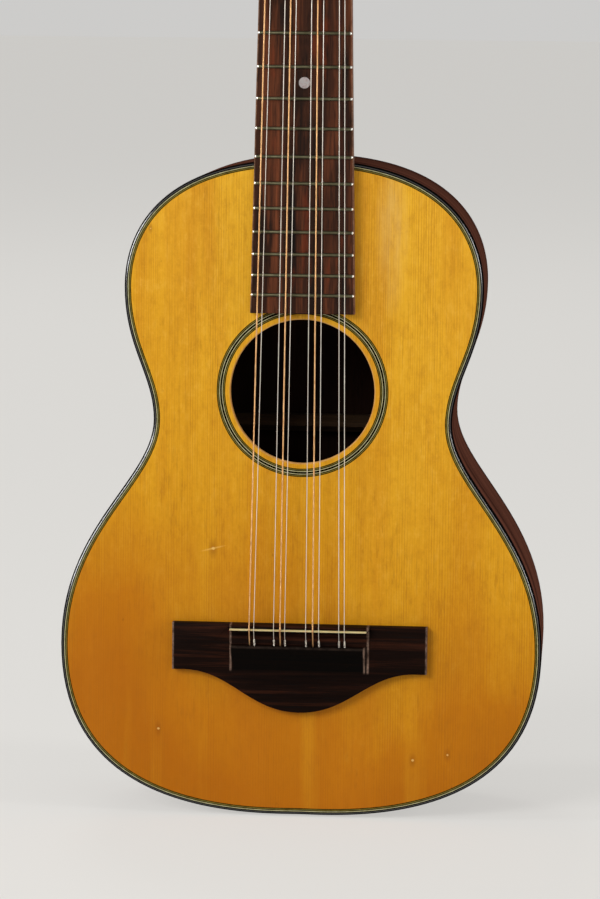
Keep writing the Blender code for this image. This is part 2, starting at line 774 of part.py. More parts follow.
def make_nut():
    """The nut, with a slot for each string."""
    half = NUT_WIDTH / 2 - NUT_INSET
    top = -GAP - NUT_HEIGHT
    across, down = NUT_CORNER
    face = [(-half, -GAP), (-half, top + down), (-half + across, top)]
    for i in range(len(STRING_NUT_SHARES)):
        x = string_at_nut(i)
        reach = string_radius(i) + GAP
        floor = -NUT_STRING_HEIGHT + reach
        face += [(x - reach, top), (x - reach, floor), (x + reach, floor), (x + reach, top)]
    face += [(half - across, top), (half, top + down), (half, -GAP)]
    loft("nut", [[(x, y, z) for x, y in face] for z in (0.0, NUT_THICKNESS)], "bone")


# Neck, heel and headstock


def headstock_frame():
    """The headstock's frame: x across, u up its face, and -v out of its face."""
    s, c = math.sin(HEADSTOCK_TILT), math.cos(HEADSTOCK_TILT)
    across = Vector((1.0, 0.0, 0.0))
    up_face = Vector((0.0, s, c))
    into_face = Vector((0.0, c, -s))
    origin = Vector((0.0, HEADSTOCK_FACE_Y, HEADSTOCK_FACE_Z))
    return across, up_face, into_face, origin


def on_headstock(x, u, v):
    """A point of the headstock's frame, in the instrument's frame."""
    across, up_face, into_face, origin = headstock_frame()
    return tuple(origin + across * x + up_face * u + into_face * v)


def round_section(half, tall, narrowing, power):
    """(x, depth) points of a neck section: a flat face, and a back that bends from edge to edge."""
    points = [(-half, 0.0), (half, 0.0)]
    for i in range(1, NECK_SIDES):
        t = math.pi * i / NECK_SIDES
        across = math.copysign(abs(math.cos(t)) ** power, math.cos(t))
        points.append((half * across * (1.0 - narrowing * math.sin(t)), tall * math.sin(t) ** power))
    return points


def heel_sections():
    """Loops from inside the body up to the top of the heel."""
    loops = []
    for share in HEEL_SHARES:
        z = BODY_TOP + HEEL_LENGTH * (1.0 - share)
        tall = NECK_DEPTH_AT_HEEL + HEEL_RISE * share**HEEL_CURVE
        half = fingerboard_half_width(z)
        section = round_section(half, tall, HEEL_NARROWING * share, NECK_SQUARENESS)
        loops.append([(x, y, z) for x, y in section])
    return loops


def neck_sections():
    """Loops from inside the body, up the heel and the shaft, to the top of the headstock."""
    loops = heel_sections()
    section = round_section(fingerboard_half_width(0.0), NECK_DEPTH_AT_NUT, 0.0, NECK_SQUARENESS)
    loops.append([(x, y, NUT_THICKNESS - NUT_INSET) for x, y in section])
    for u, width, power in headstock_stations():
        section = round_section(width / 2, HEADSTOCK_THICKNESS, 0.0, power)
        loops.append([on_headstock(x, u, WOOD_FRONT + v) for x, v in section])
    return loops


def headstock_stations():
    """(u, width, power) up the headstock: shoulders, straight sides and a soft top edge."""
    widening = HEADSTOCK_SHOULDER_WIDTH - NUT_WIDTH
    stations = []
    for up, out, power in SHOULDER_STEPS:
        stations.append((SHOULDER_LENGTH * up, NUT_WIDTH + widening * out, power))
    for drop, narrowing in TOP_EDGE_STEPS:
        stations.append((HEADSTOCK_LENGTH - drop, HEADSTOCK_TOP_WIDTH - narrowing, power))
    return stations


def post_places():
    """(x, u) of every post: the bass side first, each side from the nut upward."""
    rows = [FIRST_POST_U + TUNER_PITCH * i for i in range(TUNERS_A_SIDE)]
    return [(side * POST_X, u) for side in (-1, 1) for u in rows]


def post_cutters(front, back):
    """One cutter with a bore for every post."""
    bores = bmesh.new()
    around = circle(bore_radius(POST_RADIUS, POST_SIDES), POST_SIDES, 0.5)
    for x, u in post_places():
        loops = [[on_headstock(x + a, u + b, v) for a, b in around] for v in (front, back)]
        add_shape(bores, loft_shape(loops))
    return tool_object("post_bores", bores)


def make_neck():
    """The neck with its heel and headstock in one piece of wood, and the cap under the heel."""
    neck = smooth(loft("neck", neck_sections(), "mahogany"), 40.0)
    body = slab("neck_body_cutter", outline(-GAP), from_front(-HEEL_LENGTH), from_back(-HEEL_LENGTH), None)
    combine(neck, body, "DIFFERENCE")
    low, high = BODY_TOP - HEEL_LENGTH, BODY_TOP + HEEL_LENGTH
    around = [(-NUT_WIDTH, low), (NUT_WIDTH, low), (NUT_WIDTH, high), (-NUT_WIDTH, high)]
    cap_front = from_back(HEEL_CAP_THICKNESS + GAP)
    past_cap = slab("neck_cap_cutter", around, cap_front, from_back(-HEEL_RISE), None)
    combine(neck, past_cap, "DIFFERENCE")
    combine(neck, post_cutters(WOOD_FRONT - POST_RADIUS, WOOD_BACK + POST_RADIUS), "DIFFERENCE")
    cap = loft("heel_cap", heel_sections(), "binding")
    cap_layer = slab("heel_cap_layer", around, from_back(HEEL_CAP_THICKNESS), from_back(0.0), None)
    combine(cap, cap_layer, "INTERSECT")
    combine(cap, body, "DIFFERENCE")


def make_headplate():
    """The veneer on the headstock's face, with a bore for every post."""
    right = [(NUT_WIDTH / 2 - NUT_INSET, HEADSTOCK_FOOT)]
    right += [(width / 2, u) for u, width, power in headstock_stations()]
    around = right + [(-x, u) for x, u in reversed(right)]
    loops = [[on_headstock(x, u, v) for x, u in around] for v in (0.0, VENEER_THICKNESS)]
    plate = loft("headplate", loops, "rosewood")
    combine(plate, post_cutters(-POST_RADIUS, VENEER_THICKNESS + POST_RADIUS), "DIFFERENCE")


# Tuning machines


def tuner_matrix(x, u, v, flip=False):
    """Places a piece drawn with x across, y up the face and z out of the face."""
    across, up_face, into_face, origin = headstock_frame()
    turn = Matrix((across, up_face, -into_face)).transposed().to_4x4()
    place = Vector(on_headstock(x, u, v)) * MM
    half_turn = Matrix.Rotation(math.pi if flip else 0.0, 4, "Y")
    return Matrix.Translation(place) @ turn @ half_turn


def gear_shape():
    """The post's gear: slanted teeth, with a space facing the worm."""
    pitch_angle = 2.0 * math.pi / GEAR_TEETH
    slant = WORM_LEAD / (2.0 * math.pi * WORM_PITCH_RADIUS) / GEAR_PITCH_RADIUS
    spread = math.tan(FLANK_ANGLE)
    levels = (
        (GEAR_PITCH_RADIUS - GEAR_DEDENDUM, GEAR_TOOTH + 2 * GEAR_DEDENDUM * spread),
        (GEAR_PITCH_RADIUS + GEAR_ADDENDUM, GEAR_TOOTH - 2 * GEAR_ADDENDUM * spread),
    )
    loops = []
    for z in (-GEAR_WIDTH / 2, GEAR_WIDTH / 2):
        loop = []
        for tooth in range(GEAR_TEETH):
            middle = math.pi / 2 + pitch_angle * (tooth + 0.5) + slant * z
            for (radius, thick), sign in zip(levels + levels[::-1], (-1, -1, 1, 1)):
                angle = middle + sign * thick / 2 / radius
                loop.append((radius * math.cos(angle), radius * math.sin(angle), z))
        loops.append(loop)
    return loft_shape(loops)


def turned_shape(profile, sides, axis):
    """A turned solid from (radius, place on the axis) points, along the axis named x or z."""
    loops = []
    for radius, along in profile:
        around = circle(radius, sides, 0.5)
        if axis == "z":
            loops.append([(a, b, along) for a, b in around])
        else:
            loops.append([(along, a, b) for a, b in around])
    return loft_shape(loops)


def post_mesh():
    """The post's turned body, measured from the gear's middle along the way out of the face."""
    face = GEAR_MIDDLE
    collar = GEAR_MIDDLE - PLATE_BACK - GAP
    profile = (
        (POST_COLLAR_RADIUS, -GEAR_WIDTH / 6),
        (POST_COLLAR_RADIUS, collar),
        (POST_RADIUS, collar),
        (POST_RADIUS, face + POST_FOOT_HEIGHT),
        (POST_WAIST_RADIUS, face + POST_WAIST_START),
        (POST_WAIST_RADIUS, face + POST_WAIST_END),
        (POST_RADIUS, face + POST_HEAD_START),
        (POST_RADIUS, face + POST_HEIGHT),
    )
    return mesh_from("post", turned_shape(profile, POST_SIDES, "z"))


def worm_shape():
    """The worm's thread: a ridge with tapered ends that runs in a right-hand helix along x."""
    root = KNOB_SHAFT_RADIUS - GAP
    low_crest = KNOB_SHAFT_RADIUS + GAP
    spread = math.tan(FLANK_ANGLE)
    turns = WORM_LENGTH / WORM_LEAD
    steps = round(turns * WORM_STEPS)
    facing = math.pi
    loops = []
    for i in range(steps + 1):
        share = i / steps - 0.5
        angle = 2.0 * math.pi * turns * share + facing
        fade = min(1.0, (0.5 - abs(share)) * turns / WORM_FADE_TURNS)
        crest = low_crest + (WORM_OUTER_RADIUS - low_crest) * fade
        loop = []
        for radius, sign in ((root, -1), (crest, -1), (crest, 1), (root, 1)):
            half = WORM_TOOTH / 2 + (WORM_PITCH_RADIUS - radius) * spread
            x = WORM_LENGTH * share + sign * half
            loop.append((x, radius * math.cos(angle), radius * math.sin(angle)))
        loops.append(loop)
    return loft_shape(loops)


def knob_shaft_mesh():
    """The knob's shaft, measured from the worm's middle."""
    lug = WORM_LENGTH / 2 + WORM_END_PLAY + LUG_THICKNESS
    inner_end = -lug - KNOB_SHAFT_PAST_LUG
    inside_button = BUTTON_START + KNOB_SHAFT_RADIUS
    profile = ((KNOB_SHAFT_RADIUS, inner_end), (KNOB_SHAFT_RADIUS, inside_button))
    return mesh_from("knob_shaft", turned_shape(profile, KNOB_SHAFT_SIDES, "x"))


def button_shape():
    """The oval button: a short collar that swells into a flattened oval."""
    around = circle(1.0, BUTTON_SIDES, 0.5)
    loops = []
    for x, height_share, thickness_share in BUTTON_STATIONS:
        tall = height_share * BUTTON_HEIGHT / 2
        deep = thickness_share * BUTTON_THICKNESS / 2
        loops.append([(BUTTON_START + x, tall * a, deep * b) for a, b in around])
    return loft_shape(loops)


def make_knobs_and_posts():
    """A post with its gear and a knob with its worm for each string, numbered from the nut upward."""
    post_body = post_mesh()
    gear = mesh_from("gear", gear_shape())
    shaft = knob_shaft_mesh()
    worm = mesh_from("worm", worm_shape())
    button = mesh_from("button", button_shape())
    for i, (x, u) in enumerate(post_places()):
        side = "bass" if x < 0 else "treble"
        number = i % TUNERS_A_SIDE + 1
        gear_place = tuner_matrix(x, u, GEAR_MIDDLE)
        post = add_object(f"post_{side}_{number}", post_body, "steel")
        post.matrix_world = gear_place
        gear_tool = add_object(f"gear_{side}_{number}", gear, "steel")
        gear_tool.matrix_world = gear_place
        combine(post, gear_tool, "UNION")
        worm_place = tuner_matrix(x, u + WORM_OFFSET, GEAR_MIDDLE, flip=x < 0)
        knob = add_object(f"knob_{side}_{number}", shaft, "plastic")
        knob.matrix_world = worm_place
        for part, mesh in (("worm", worm), ("button", button)):
            tool = add_object(f"{part}_{side}_{number}", mesh, "plastic")
            tool.matrix_world = worm_place
            combine(knob, tool, "UNION")


def make_tuner_plates():
    """The two plates on the headstock's back, with a pair of lugs that carry each knob's shaft."""
    reach = WORM_LENGTH / 2 + WORM_END_PLAY
    inner = POST_X - reach - LUG_THICKNESS - TUNER_PLATE_INNER_MARGIN
    outer = POST_X + reach + LUG_THICKNESS + TUNER_PLATE_OUTER_MARGIN
    low = FIRST_POST_U - TUNER_PLATE_LOW_MARGIN
    high = LAST_POST_U + WORM_OFFSET + TUNER_PLATE_HIGH_MARGIN
    corner = TUNER_PLATE_CORNER
    rim = [(inner + corner, low), (outer - corner, low), (outer, low + corner), (outer, high - corner),
           (outer - corner, high), (inner + corner, high), (inner, high - corner), (inner, low + corner)]
    for side_name, side in (("bass", -1), ("treble", 1)):
        loops = [[on_headstock(side * x, u, v) for x, u in rim] for v in (PLATE_FRONT, PLATE_BACK)]
        plate = loft(f"tuner_plate_{side_name}", loops, "steel")
        lugs = bmesh.new()
        bores = bmesh.new()
        for i in range(TUNERS_A_SIDE):
            axis_u = FIRST_POST_U + TUNER_PITCH * i + WORM_OFFSET
            for start in (-reach - LUG_THICKNESS, reach):
                add_shape(lugs, lug_shape(side, POST_X + start, axis_u))
                add_shape(bores, lug_bore_shape(side, POST_X + start, axis_u))
        combine(plate, tool_object(f"lugs_{side_name}", lugs), "UNION")
        combine(plate, tool_object(f"lug_bores_{side_name}", bores), "DIFFERENCE")
        combine(plate, post_cutters(PLATE_FRONT - POST_RADIUS, PLATE_BACK + GAP), "DIFFERENCE")


def lug_shape(side, x, axis_u):
    """An upright ear on the plate, rounded over the shaft."""
    half = LUG_WIDTH / 2
    foot = PLATE_BACK - TUNER_PLATE_THICKNESS / 2
    top = GEAR_MIDDLE + KNOB_SHAFT_RADIUS + GAP + LUG_OVER_SHAFT
    right = [(half, foot), (half, top - LUG_SHOULDER), (half / 2, top)]
    section = right + [(-u, v) for u, v in reversed(right)]
    loops = []
    for dx in (0.0, LUG_THICKNESS):
        loops.append([on_headstock(side * (x + dx), axis_u + u, v) for u, v in section])
    return loft_shape(loops)


def lug_bore_shape(side, x, axis_u):
    """The bore through an ear, with running clearance round the shaft."""
    around = circle(bore_radius(KNOB_SHAFT_RADIUS, LUG_BORE_SIDES), LUG_BORE_SIDES, 0.5)
    loops = []
    for dx in (-GAP, LUG_THICKNESS + GAP):
        loops.append([on_headstock(side * (x + dx), axis_u + a, GEAR_MIDDLE + b) for a, b in around])
    return loft_shape(loops)


# Strings


def string_radius(i):
    """Half the thickness of a string."""
    return WOUND_RADIUS if i in WOUND_STRINGS else PLAIN_RADIUS


def string_at_nut(i):
    """A string's place across the nut."""
    return STRING_NUT_SHARES[i] * NUT_WIDTH / 2


def saddle_top(i):
    """Where a string's middle crosses the saddle."""
    return Vector((STRING_AT_SADDLE[i], -SADDLE_HEIGHT - GAP - string_radius(i), SADDLE_Z))


def string_path(i):
    """A string's middle line: bridge hole, saddle, nut slot, then round its post."""
    radius = string_radius(i)
    saddle = saddle_top(i)
    mouth = Vector((STRING_AT_SADDLE[i], -STRING_HOLE_HEIGHT, BRIDGE_FRONT - TROUGH_END_DROP))
    end = mouth + (mouth - saddle).normalized() * (STRING_HOLE_DEPTH - GAP)
    x_nut = string_at_nut(i)
    points = [end, mouth, saddle, Vector((x_nut, -NUT_STRING_HEIGHT, -GAP)),
              Vector((x_nut, -NUT_STRING_HEIGHT, NUT_THICKNESS - GAP))]
    side = -1 if i < TUNERS_A_SIDE else 1
    rank = i if side < 0 else 2 * TUNERS_A_SIDE - 1 - i
    post_x = side * POST_X
    post_u = FIRST_POST_U + TUNER_PITCH * rank
    around = POST_WAIST_RADIUS + GAP + radius
    leave = Vector((x_nut - post_x, -post_u))
    reach = leave.length
    towards_nut = math.atan2(leave.y, leave.x)
    start = towards_nut - side * math.acos(around / reach)
    pitch = 2 * radius + TURN_GAP
    first_v = -POST_WAIST_START - 2 * GAP - radius
    steps = round(STRING_TURNS * TURN_STEPS)
    for k in range(steps + 1):
        angle = start - side * 2.0 * math.pi * k / TURN_STEPS
        x = post_x + around * math.cos(angle)
        u = post_u + around * math.sin(angle)
        points.append(Vector(on_headstock(x, u, first_v - pitch * k / TURN_STEPS)))
    return points


def least_gap_of_turns(i):
    """The least gap between one turn of a string on its post and the next, measured on points."""
    turns = string_path(i)[-round(STRING_TURNS * TURN_STEPS) - 1:]
    gaps = []
    for a in range(len(turns)):
        for b in range(a + TURN_STEPS // 2, len(turns)):
            gaps.append((turns[a] - turns[b]).length - 2 * string_radius(i))
    return min(gaps)


def make_strings():
    """Ten strings, from bass to treble."""
    for i in range(len(STRING_NUT_SHARES)):
        name = f"string_{i + 1}"
        curve = bpy.data.curves.new(name, "CURVE")
        curve.dimensions = "3D"
        curve.bevel_depth = string_radius(i) * MM
        curve.bevel_resolution = 1
        curve.use_fill_caps = True
        points = string_path(i)
        line = curve.splines.new("POLY")
        line.points.add(len(points) - 1)
        for spot, point in zip(line.points, points):
            spot.co = (*(point * MM), 1.0)
        curve.materials.append(material("bronze" if i in WOUND_STRINGS else "steel"))
        made = bpy.data.objects.new(name, curve)
        bpy.context.scene.collection.objects.link(made)
        print(f"{name}: least gap between its turns {least_gap_of_turns(i):.2f} mm")


def main():
    """Clears the scene and builds every piece."""
    for old in list(bpy.data.objects):
        bpy.data.objects.remove(old)
    make_soundboard()
    make_bindings()
    make_ribs()
    make_linings()
    make_back()
    make_blocks()
    make_braces()
    make_bridge()
    make_saddle()
    make_fingerboard()
    dot_shape(f"dot_{DOT_FRET}", 0.0, "pearl")
    make_nut()
    make_neck()
    make_headplate()
    make_tuner_plates()
    make_knobs_and_posts()
    make_strings()


main()
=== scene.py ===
"""The looks of a ten-string tiple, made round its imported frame.

The instrument stands upright: +Z runs up the neck, the soundboard faces -Y and +X is the treble side.
The soundboard's face lies in the plane y = 0, and z = 0 is the nut's front edge. Sizes are in
millimetres, and meshes are scaled to metres as they are made.
"""

import math

import bmesh
import bpy
from mathutils import Matrix, Vector


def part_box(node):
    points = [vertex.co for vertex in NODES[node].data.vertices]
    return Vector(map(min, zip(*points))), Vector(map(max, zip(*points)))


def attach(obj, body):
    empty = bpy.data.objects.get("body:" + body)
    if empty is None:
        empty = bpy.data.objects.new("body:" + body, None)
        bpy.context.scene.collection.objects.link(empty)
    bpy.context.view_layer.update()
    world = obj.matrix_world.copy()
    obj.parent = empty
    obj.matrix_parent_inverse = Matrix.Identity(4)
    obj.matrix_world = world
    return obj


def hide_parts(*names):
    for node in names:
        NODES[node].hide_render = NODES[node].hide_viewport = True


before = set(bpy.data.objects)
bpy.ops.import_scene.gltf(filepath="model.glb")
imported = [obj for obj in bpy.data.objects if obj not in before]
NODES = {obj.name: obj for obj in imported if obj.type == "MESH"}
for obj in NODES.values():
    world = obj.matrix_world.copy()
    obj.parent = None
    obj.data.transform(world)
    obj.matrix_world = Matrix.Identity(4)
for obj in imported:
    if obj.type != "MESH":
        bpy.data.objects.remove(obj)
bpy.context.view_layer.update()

MM = 0.001
SHARP_ANGLE = 32.0
UPSIDE_DOWN = Matrix.Rotation(math.pi, 4, "X")
SIDES = (("bass", -1), ("treble", 1))

# Sizes read from the frame
EDGE_LOW, EDGE_HIGH = (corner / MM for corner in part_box("front_binding"))
BODY_TOP = EDGE_HIGH.z
LOWER_BOUT_WIDTH = EDGE_HIGH.x - EDGE_LOW.x
FINGERBOARD_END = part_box("fingerboard")[0].z / MM

# Body outline, as the part has it
BODY_LENGTH = 306.0
BODY_BOTTOM = BODY_TOP - BODY_LENGTH
UPPER_BOUT_WIDTH = 165.8
WAIST_WIDTH = 138.2
UPPER_BOUT_DROP = 59.5
WAIST_DROP = 121.2
LOWER_BOUT_DROP = 227.3
DEPTH_AT_NECK = 67.0
DEPTH_AT_TAIL = 77.0
TOP_HANDLES = (64.5, 28.1)
FLANK_HANDLES = (28.6, 20.5)
WAIST_HANDLES = (27.9, 55.4)
TAIL_HANDLES = (84.3, 18.8)
TOP_STEPS = 34
FLANK_STEPS = 20
WAIST_STEPS = 28
TAIL_STEPS = 44

# Plates, edges and inlays
SOUNDBOARD_THICKNESS = 2.6
BACK_THICKNESS = 2.4
RIB_THICKNESS = 1.8
BINDING_WIDTH = 1.6
BINDING_HEIGHT = 4.0
PURFLING_DEPTH = 1.5
SEAM = 0.02
END_STRIP_EDGE = 0.1
INNER_EDGE = 0.3

# The bindings' outer corner as (inset, depth) points, with the scraped facet that starts at one of them
BINDING_CORNER = (
    (0.0, 1.4),
    (0.05, 1.12),
    (0.2, 0.9),
    (0.45, 0.66),
    (0.66, 0.47),
    (0.7, 0.441),
    (1.08, 0.165),
    (1.12, 0.136),
    (1.26, 0.06),
    (1.4, 0.015),
    (1.5, 0.0),
)
FACET_START = 5

# Centre strip, soundhole and rosette
CENTRE_STRIP_WIDTH = 3.4
CENTRE_LINE_WIDTH = 0.6
SOUNDHOLE_Z = BODY_TOP - 106.9
SOUNDHOLE_RADIUS = 33.3
SOUNDHOLE_ROUND = 0.5
SOUNDHOLE_STEPS = 3
RIM_MARGIN = 0.01
ROSETTE_DEPTH = 0.8
ROSETTE_INNER_RADIUS = 35.8
ROSETTE_SIDES = 160

# Inlaid lines as (width, surface): inward from the binding, and outward from the soundhole
PURFLING_LINES = (
    (0.38, "cream_line"),
    (0.34, "black_line"),
    (0.5, "green_line"),
    (0.34, "black_line"),
)
ROSETTE_LINES = (
    (0.34, "black_line"),
    (0.46, "green_line"),
    (0.38, "black_line"),
    (0.36, "cream_line"),
    (0.84, "black_line"),
    (0.36, "cream_line"),
    (0.38, "black_line"),
    (0.46, "green_line"),
    (0.34, "black_line"),
)

# Fingerboard, frets and nut
SCALE_LENGTH = 432.0
FRET_COUNT = 18
NUT_WIDTH = 36.9
FINGERBOARD_END_WIDTH = 48.2
FINGERBOARD_THICKNESS = 5.0
FINGERBOARD_GAP = 0.3
FRET_WIDTH = 1.6
FRET_HEIGHT = 1.0
FRET_ROOT = 0.3
FRET_BEVEL = 0.95
FRET_INSET = 0.1
FRET_ENDS = ((0.0, 0.5), (0.12, 0.72), (0.35, 0.9), (0.85, 1.0))
FRET_ANGLE = 50.0
CROWN_STEPS = 8
DOT_RADIUS = 2.6
DOT_FRETS = (5, 7, 10)
DOT_DEPTH = 1.0
DOT_ROUND = (0.12, 0.04)
DOT_SIDES = 48
NUT_THICKNESS = 4.5
NUT_EDGE = 0.15
BOARD_EDGE = 0.35

# Neck and heel
NECK_DEPTH_AT_NUT = 15.5
NECK_DEPTH_AT_HEEL = 17.5
HEEL_LENGTH = 57.5
HEEL_RISE = 78.0
HEEL_CURVE = 2.2
HEEL_NARROWING = 0.35
HEEL_CAP_THICKNESS = 2.4
HEEL_CAP_EDGE = 0.2
HEEL_STEPS = 26
HEEL_REACH = 1.1
SHAFT_STEPS = 8
SHAFT_END_DROP = 0.2
NECK_SIDES = 44
NECK_SQUARENESS = 0.9
HEADSTOCK_SQUARENESS = (0.85, 0.1)
SQUARING_START = 1.0
SQUARING_LENGTH = 22.0

# Headstock, in its own frame: u up its face, v into its face
HEADSTOCK_TILT = math.radians(14.0)
HEADSTOCK_FACE_Y = -1.5
HEADSTOCK_FACE_Z = NUT_THICKNESS + 0.5
HEADSTOCK_LENGTH = 150.0
VENEER_THICKNESS = 1.5
HEADSTOCK_THICKNESS = 13.0
HEADSTOCK_SHOULDER_WIDTH = 57.0
HEADSTOCK_TOP_WIDTH = 62.0
SHOULDER_LENGTH = 26.0
SHOULDER_POWER = 0.7
HEADSTOCK_CORNER = 4.0
HEADSTOCK_STRAIGHT_INSETS = (20.0, 40.0)
VENEER_EDGE = 0.25
SHOULDER_STEPS = 14
CORNER_STEPS = 8

# Tuning machines
TUNERS_A_SIDE = 5
TUNER_PITCH = 24.0
FIRST_POST_U = 30.0
POST_X = 20.5
POST_RADIUS = 3.0
POST_WAIST_RADIUS = 2.5
POST_COLLAR_RADIUS = 4.0
POST_FOOT_HEIGHT = 2.4
POST_WAIST_START = 3.2
POST_WAIST_END = 7.6
POST_HEAD_START = 8.4
POST_HEIGHT = 10.0
POST_WAIST_BEND = (0.12, 0.25)
POST_TIP = ((0.0, 0.6), (0.2, 0.2), (0.6, 0.0))
POST_BORE_SIDES = 28
STRING_BORE_RADIUS = 0.7
STRING_BORE_REACH = 5.0
STRING_BORE_RISE = 1.2
STRING_BORE_TURN = 0.6
TURNED_SIDES = 32
GEAR_TEETH = 14
GEAR_MODULE = 0.8
GEAR_WIDTH = 3.0
GEAR_ADDENDUM = 0.7
GEAR_DEDENDUM = 1.0
GEAR_TOOTH = 1.05
GEAR_TIP_START = 0.7
GEAR_TIP_WIDTH = 0.6
GEAR_EDGE = 0.12
GEAR_ANGLE = 50.0
GEAR_SCREW_RADIUS = 1.9
GEAR_SCREW_HEIGHT = 1.0
GEAR_SCREW_TURN = 0.7
WORM_TOOTH = 1.0
WORM_PITCH_RADIUS = 2.8
WORM_LENGTH = 6.0
WORM_STEPS = 28
WORM_END_PLAY = 1.7
WORM_FADE_TURNS = 0.25
WORM_CLEARANCE = 0.1
FLANK_ANGLE = math.radians(20.0)
KNOB_SHAFT_RADIUS = 1.5
KNOB_SHAFT_PAST_LUG = 0.6
KNOB_SHAFT_BEVEL = 0.3
PLATE_THICKNESS = 1.0
LUG_THICKNESS = 1.5
BUTTON_CLEARANCE = 4.7
BUTTON_HEIGHT = 16.4
BUTTON_THICKNESS = 7.0
BUTTON_SIDES = 24
BUTTON_ANGLE = 80.0
BUTTON_SMOOTHING = 2
BUTTON_STATIONS = (
    (0.0, 0.25, 0.58),
    (0.5, 0.29, 0.68),
    (1.4, 0.32, 0.74),
    (3.4, 0.66, 0.8),
    (8.6, 1.0, 1.0),
    (13.6, 0.84, 0.86),
    (15.4, 0.56, 0.6),
    (16.6, 0.3, 0.34),
)
SCREW_SINK = 0.2
SCREW_RIM = 0.25
SCREW_STEPS = 5
SCREW_SIDES = 28
SCREW_SLOT_SHARE = 0.16
SCREW_SLOT_FLOOR = 0.45
PLATE_SCREW_RADIUS = 2.1
PLATE_SCREW_HEIGHT = 1.1
PLATE_SCREW_RISE = 6.6
PLATE_SCREW_TURN = 1.1
PLATE_EDGE = 0.12
BUSHING_RADIUS = 4.9
BUSHING_HEIGHT = 1.1

# Bridge and saddle, with heights above the soundboard
SADDLE_COMPENSATION = 2.6
SADDLE_THICKNESS = 0.8
SADDLE_HEIGHT = 9.9
SADDLE_SLOT_FLOOR = 2.6
SADDLE_END_INSETS = (0.1, 0.8)
BRIDGE_SPAN = 118.6
BRIDGE_WING_LENGTH = 22.0
BRIDGE_BELLY_DROP = 19.3
BRIDGE_BELLY_SPAN = 108.0
BELLY_HANDLES = (22.2, 23.6)
BELLY_STEPS = 40
BRIDGE_WING_HEIGHT = 4.3
BRIDGE_MIDDLE_SPAN = 64.4
BRIDGE_FRONT_WALL = 1.3
BRIDGE_EDGE = 0.4
SADDLE_EDGE = 0.12
LEDGE_HEIGHT = 8.2
TROUGH_HEIGHT = 5.4
TROUGH_START = 3.0
TROUGH_END_DROP = 9.8
BLOCK_HEIGHT = 8.5
BLOCK_CREST = 2.0
BLOCK_END_DROP = 22.8
BLOCK_INSET = 1.7
SLOT_OVERRUN = 1.0
STRING_HOLE_HEIGHT = 6.9
STRING_HOLE_DEPTH = 7.0
STRING_HOLE_START = 3.0
STRING_HOLE_RADIUS = 0.75
STRING_HOLE_SIDES = 16

# Strings, from bass to treble
STRING_AT_SADDLE = (-22.9, -20.75, -11.55, -8.55, -6.4, 3.35, 6.6, 9.35, 18.7, 21.25)
STRING_NUT_SHARES = (-0.851, -0.715, -0.415, -0.285, -0.136, 0.168, 0.306, 0.447, 0.77, 0.905)
WOUND_STRINGS = (0, 3, 6)
WOUND_RADIUS = 0.36
PLAIN_RADIUS = 0.17
NUT_STRING_HEIGHT = 7.0
SADDLE_BEND = 0.5
SADDLE_LIFT = 0.05
WIRE_BEVEL_STEPS = 3
STRING_TURNS = 1.5
TURN_STEPS = 28
TURN_GAP = 0.45
WINDING_PITCH = 0.24
TWIST_LENGTH = 3.6
TWIST_TURNS = 5
TWIST_STEPS = 10

# Marks of age on the soundboard, as (x, z) places with sizes, and a patch of painted reflection
DINGS = (
    ((-40.8, -398.1), 1.7),
    ((-66.1, -483.9), 1.3),
    ((53.2, -495.9), 1.4),
    ((69.4, -493.0), 1.2),
    ((-70.8, -249.9), 0.9),
)
SCRATCH = ((-40.8, -398.1), (6.0, 0.45), math.radians(14.0))
# A painted reflection on the varnish, as an oval's (x, z) place and reach
REFLECTION_PATCH = ((40.5, -250.0), (6.5, 32.0))
RING_SPACING = 1.15

# Camera: where it stands, how it is turned and the picture's size in pixels
CAMERA_PLACE = Vector((129.87, -1638.11, -147.59))
CAMERA_YAW = 0.080292
CAMERA_PITCH = -0.123136
CAMERA_ROLL = 0.0096
FOCAL_LENGTH_PX = 3583.46
AXIS_PX = (297.64, 449.25)
PICTURE_PX = (600, 899)
SENSOR_WIDTH = 36.0
CLIP_START = 0.1
CLIP_END = 100.0

# Room and lights, in metres and watts: a large key, a fill, a narrow strip at each side, one light behind
FLOOR_REACH = 40.0
FLOOR_GAP = 0.001
FLOOR_GLOW = 0.6
WORLD_LIGHT = 0.3
WORLD_SEEN = 0.66
LIGHT_TARGET = Vector((0.0, 0.0, -0.33))
AREA_LIGHTS = (
    ("key", (-1.3, -1.9, 0.75), (1.1, 1.1), 39.0),
    ("fill", (1.5, -2.0, 0.2), (1.2, 1.2), 7.0),
    ("strip_left", (-2.2, -0.5, 0.35), (0.3, 1.2), 18.0),
    ("strip_right", (2.2, -0.6, 0.35), (0.3, 1.2), 18.0),
)
BEHIND_PLACE = (-0.8, 2.6, 1.9)
BEHIND_POWER = 70.0
BEHIND_RADIUS = 0.6

# Mix node sockets for colours
MIX_FACTOR, MIX_BELOW, MIX_ABOVE = 0, 6, 7
MIX_RESULT = 2

# Places worked out from the sizes above
GAP = 0.3
SADDLE_Z = -SCALE_LENGTH - SADDLE_COMPENSATION
BRIDGE_FRONT = SADDLE_Z + SADDLE_THICKNESS / 2 + GAP + BRIDGE_FRONT_WALL
BRIDGE_BLOCK_FRONT = BRIDGE_FRONT - TROUGH_END_DROP
FINGERBOARD_FACE = -FINGERBOARD_GAP - FINGERBOARD_THICKNESS
GEAR_PITCH_RADIUS = GEAR_MODULE * GEAR_TEETH / 2
WORM_LEAD = math.pi * GEAR_MODULE
WORM_OFFSET = GEAR_PITCH_RADIUS + WORM_PITCH_RADIUS
WORM_OUTER_RADIUS = WORM_PITCH_RADIUS + GEAR_ADDENDUM
WOOD_FRONT = VENEER_THICKNESS + GAP
WOOD_BACK = WOOD_FRONT + HEADSTOCK_THICKNESS
PLATE_FRONT = WOOD_BACK + GAP
PLATE_BACK = PLATE_FRONT + PLATE_THICKNESS
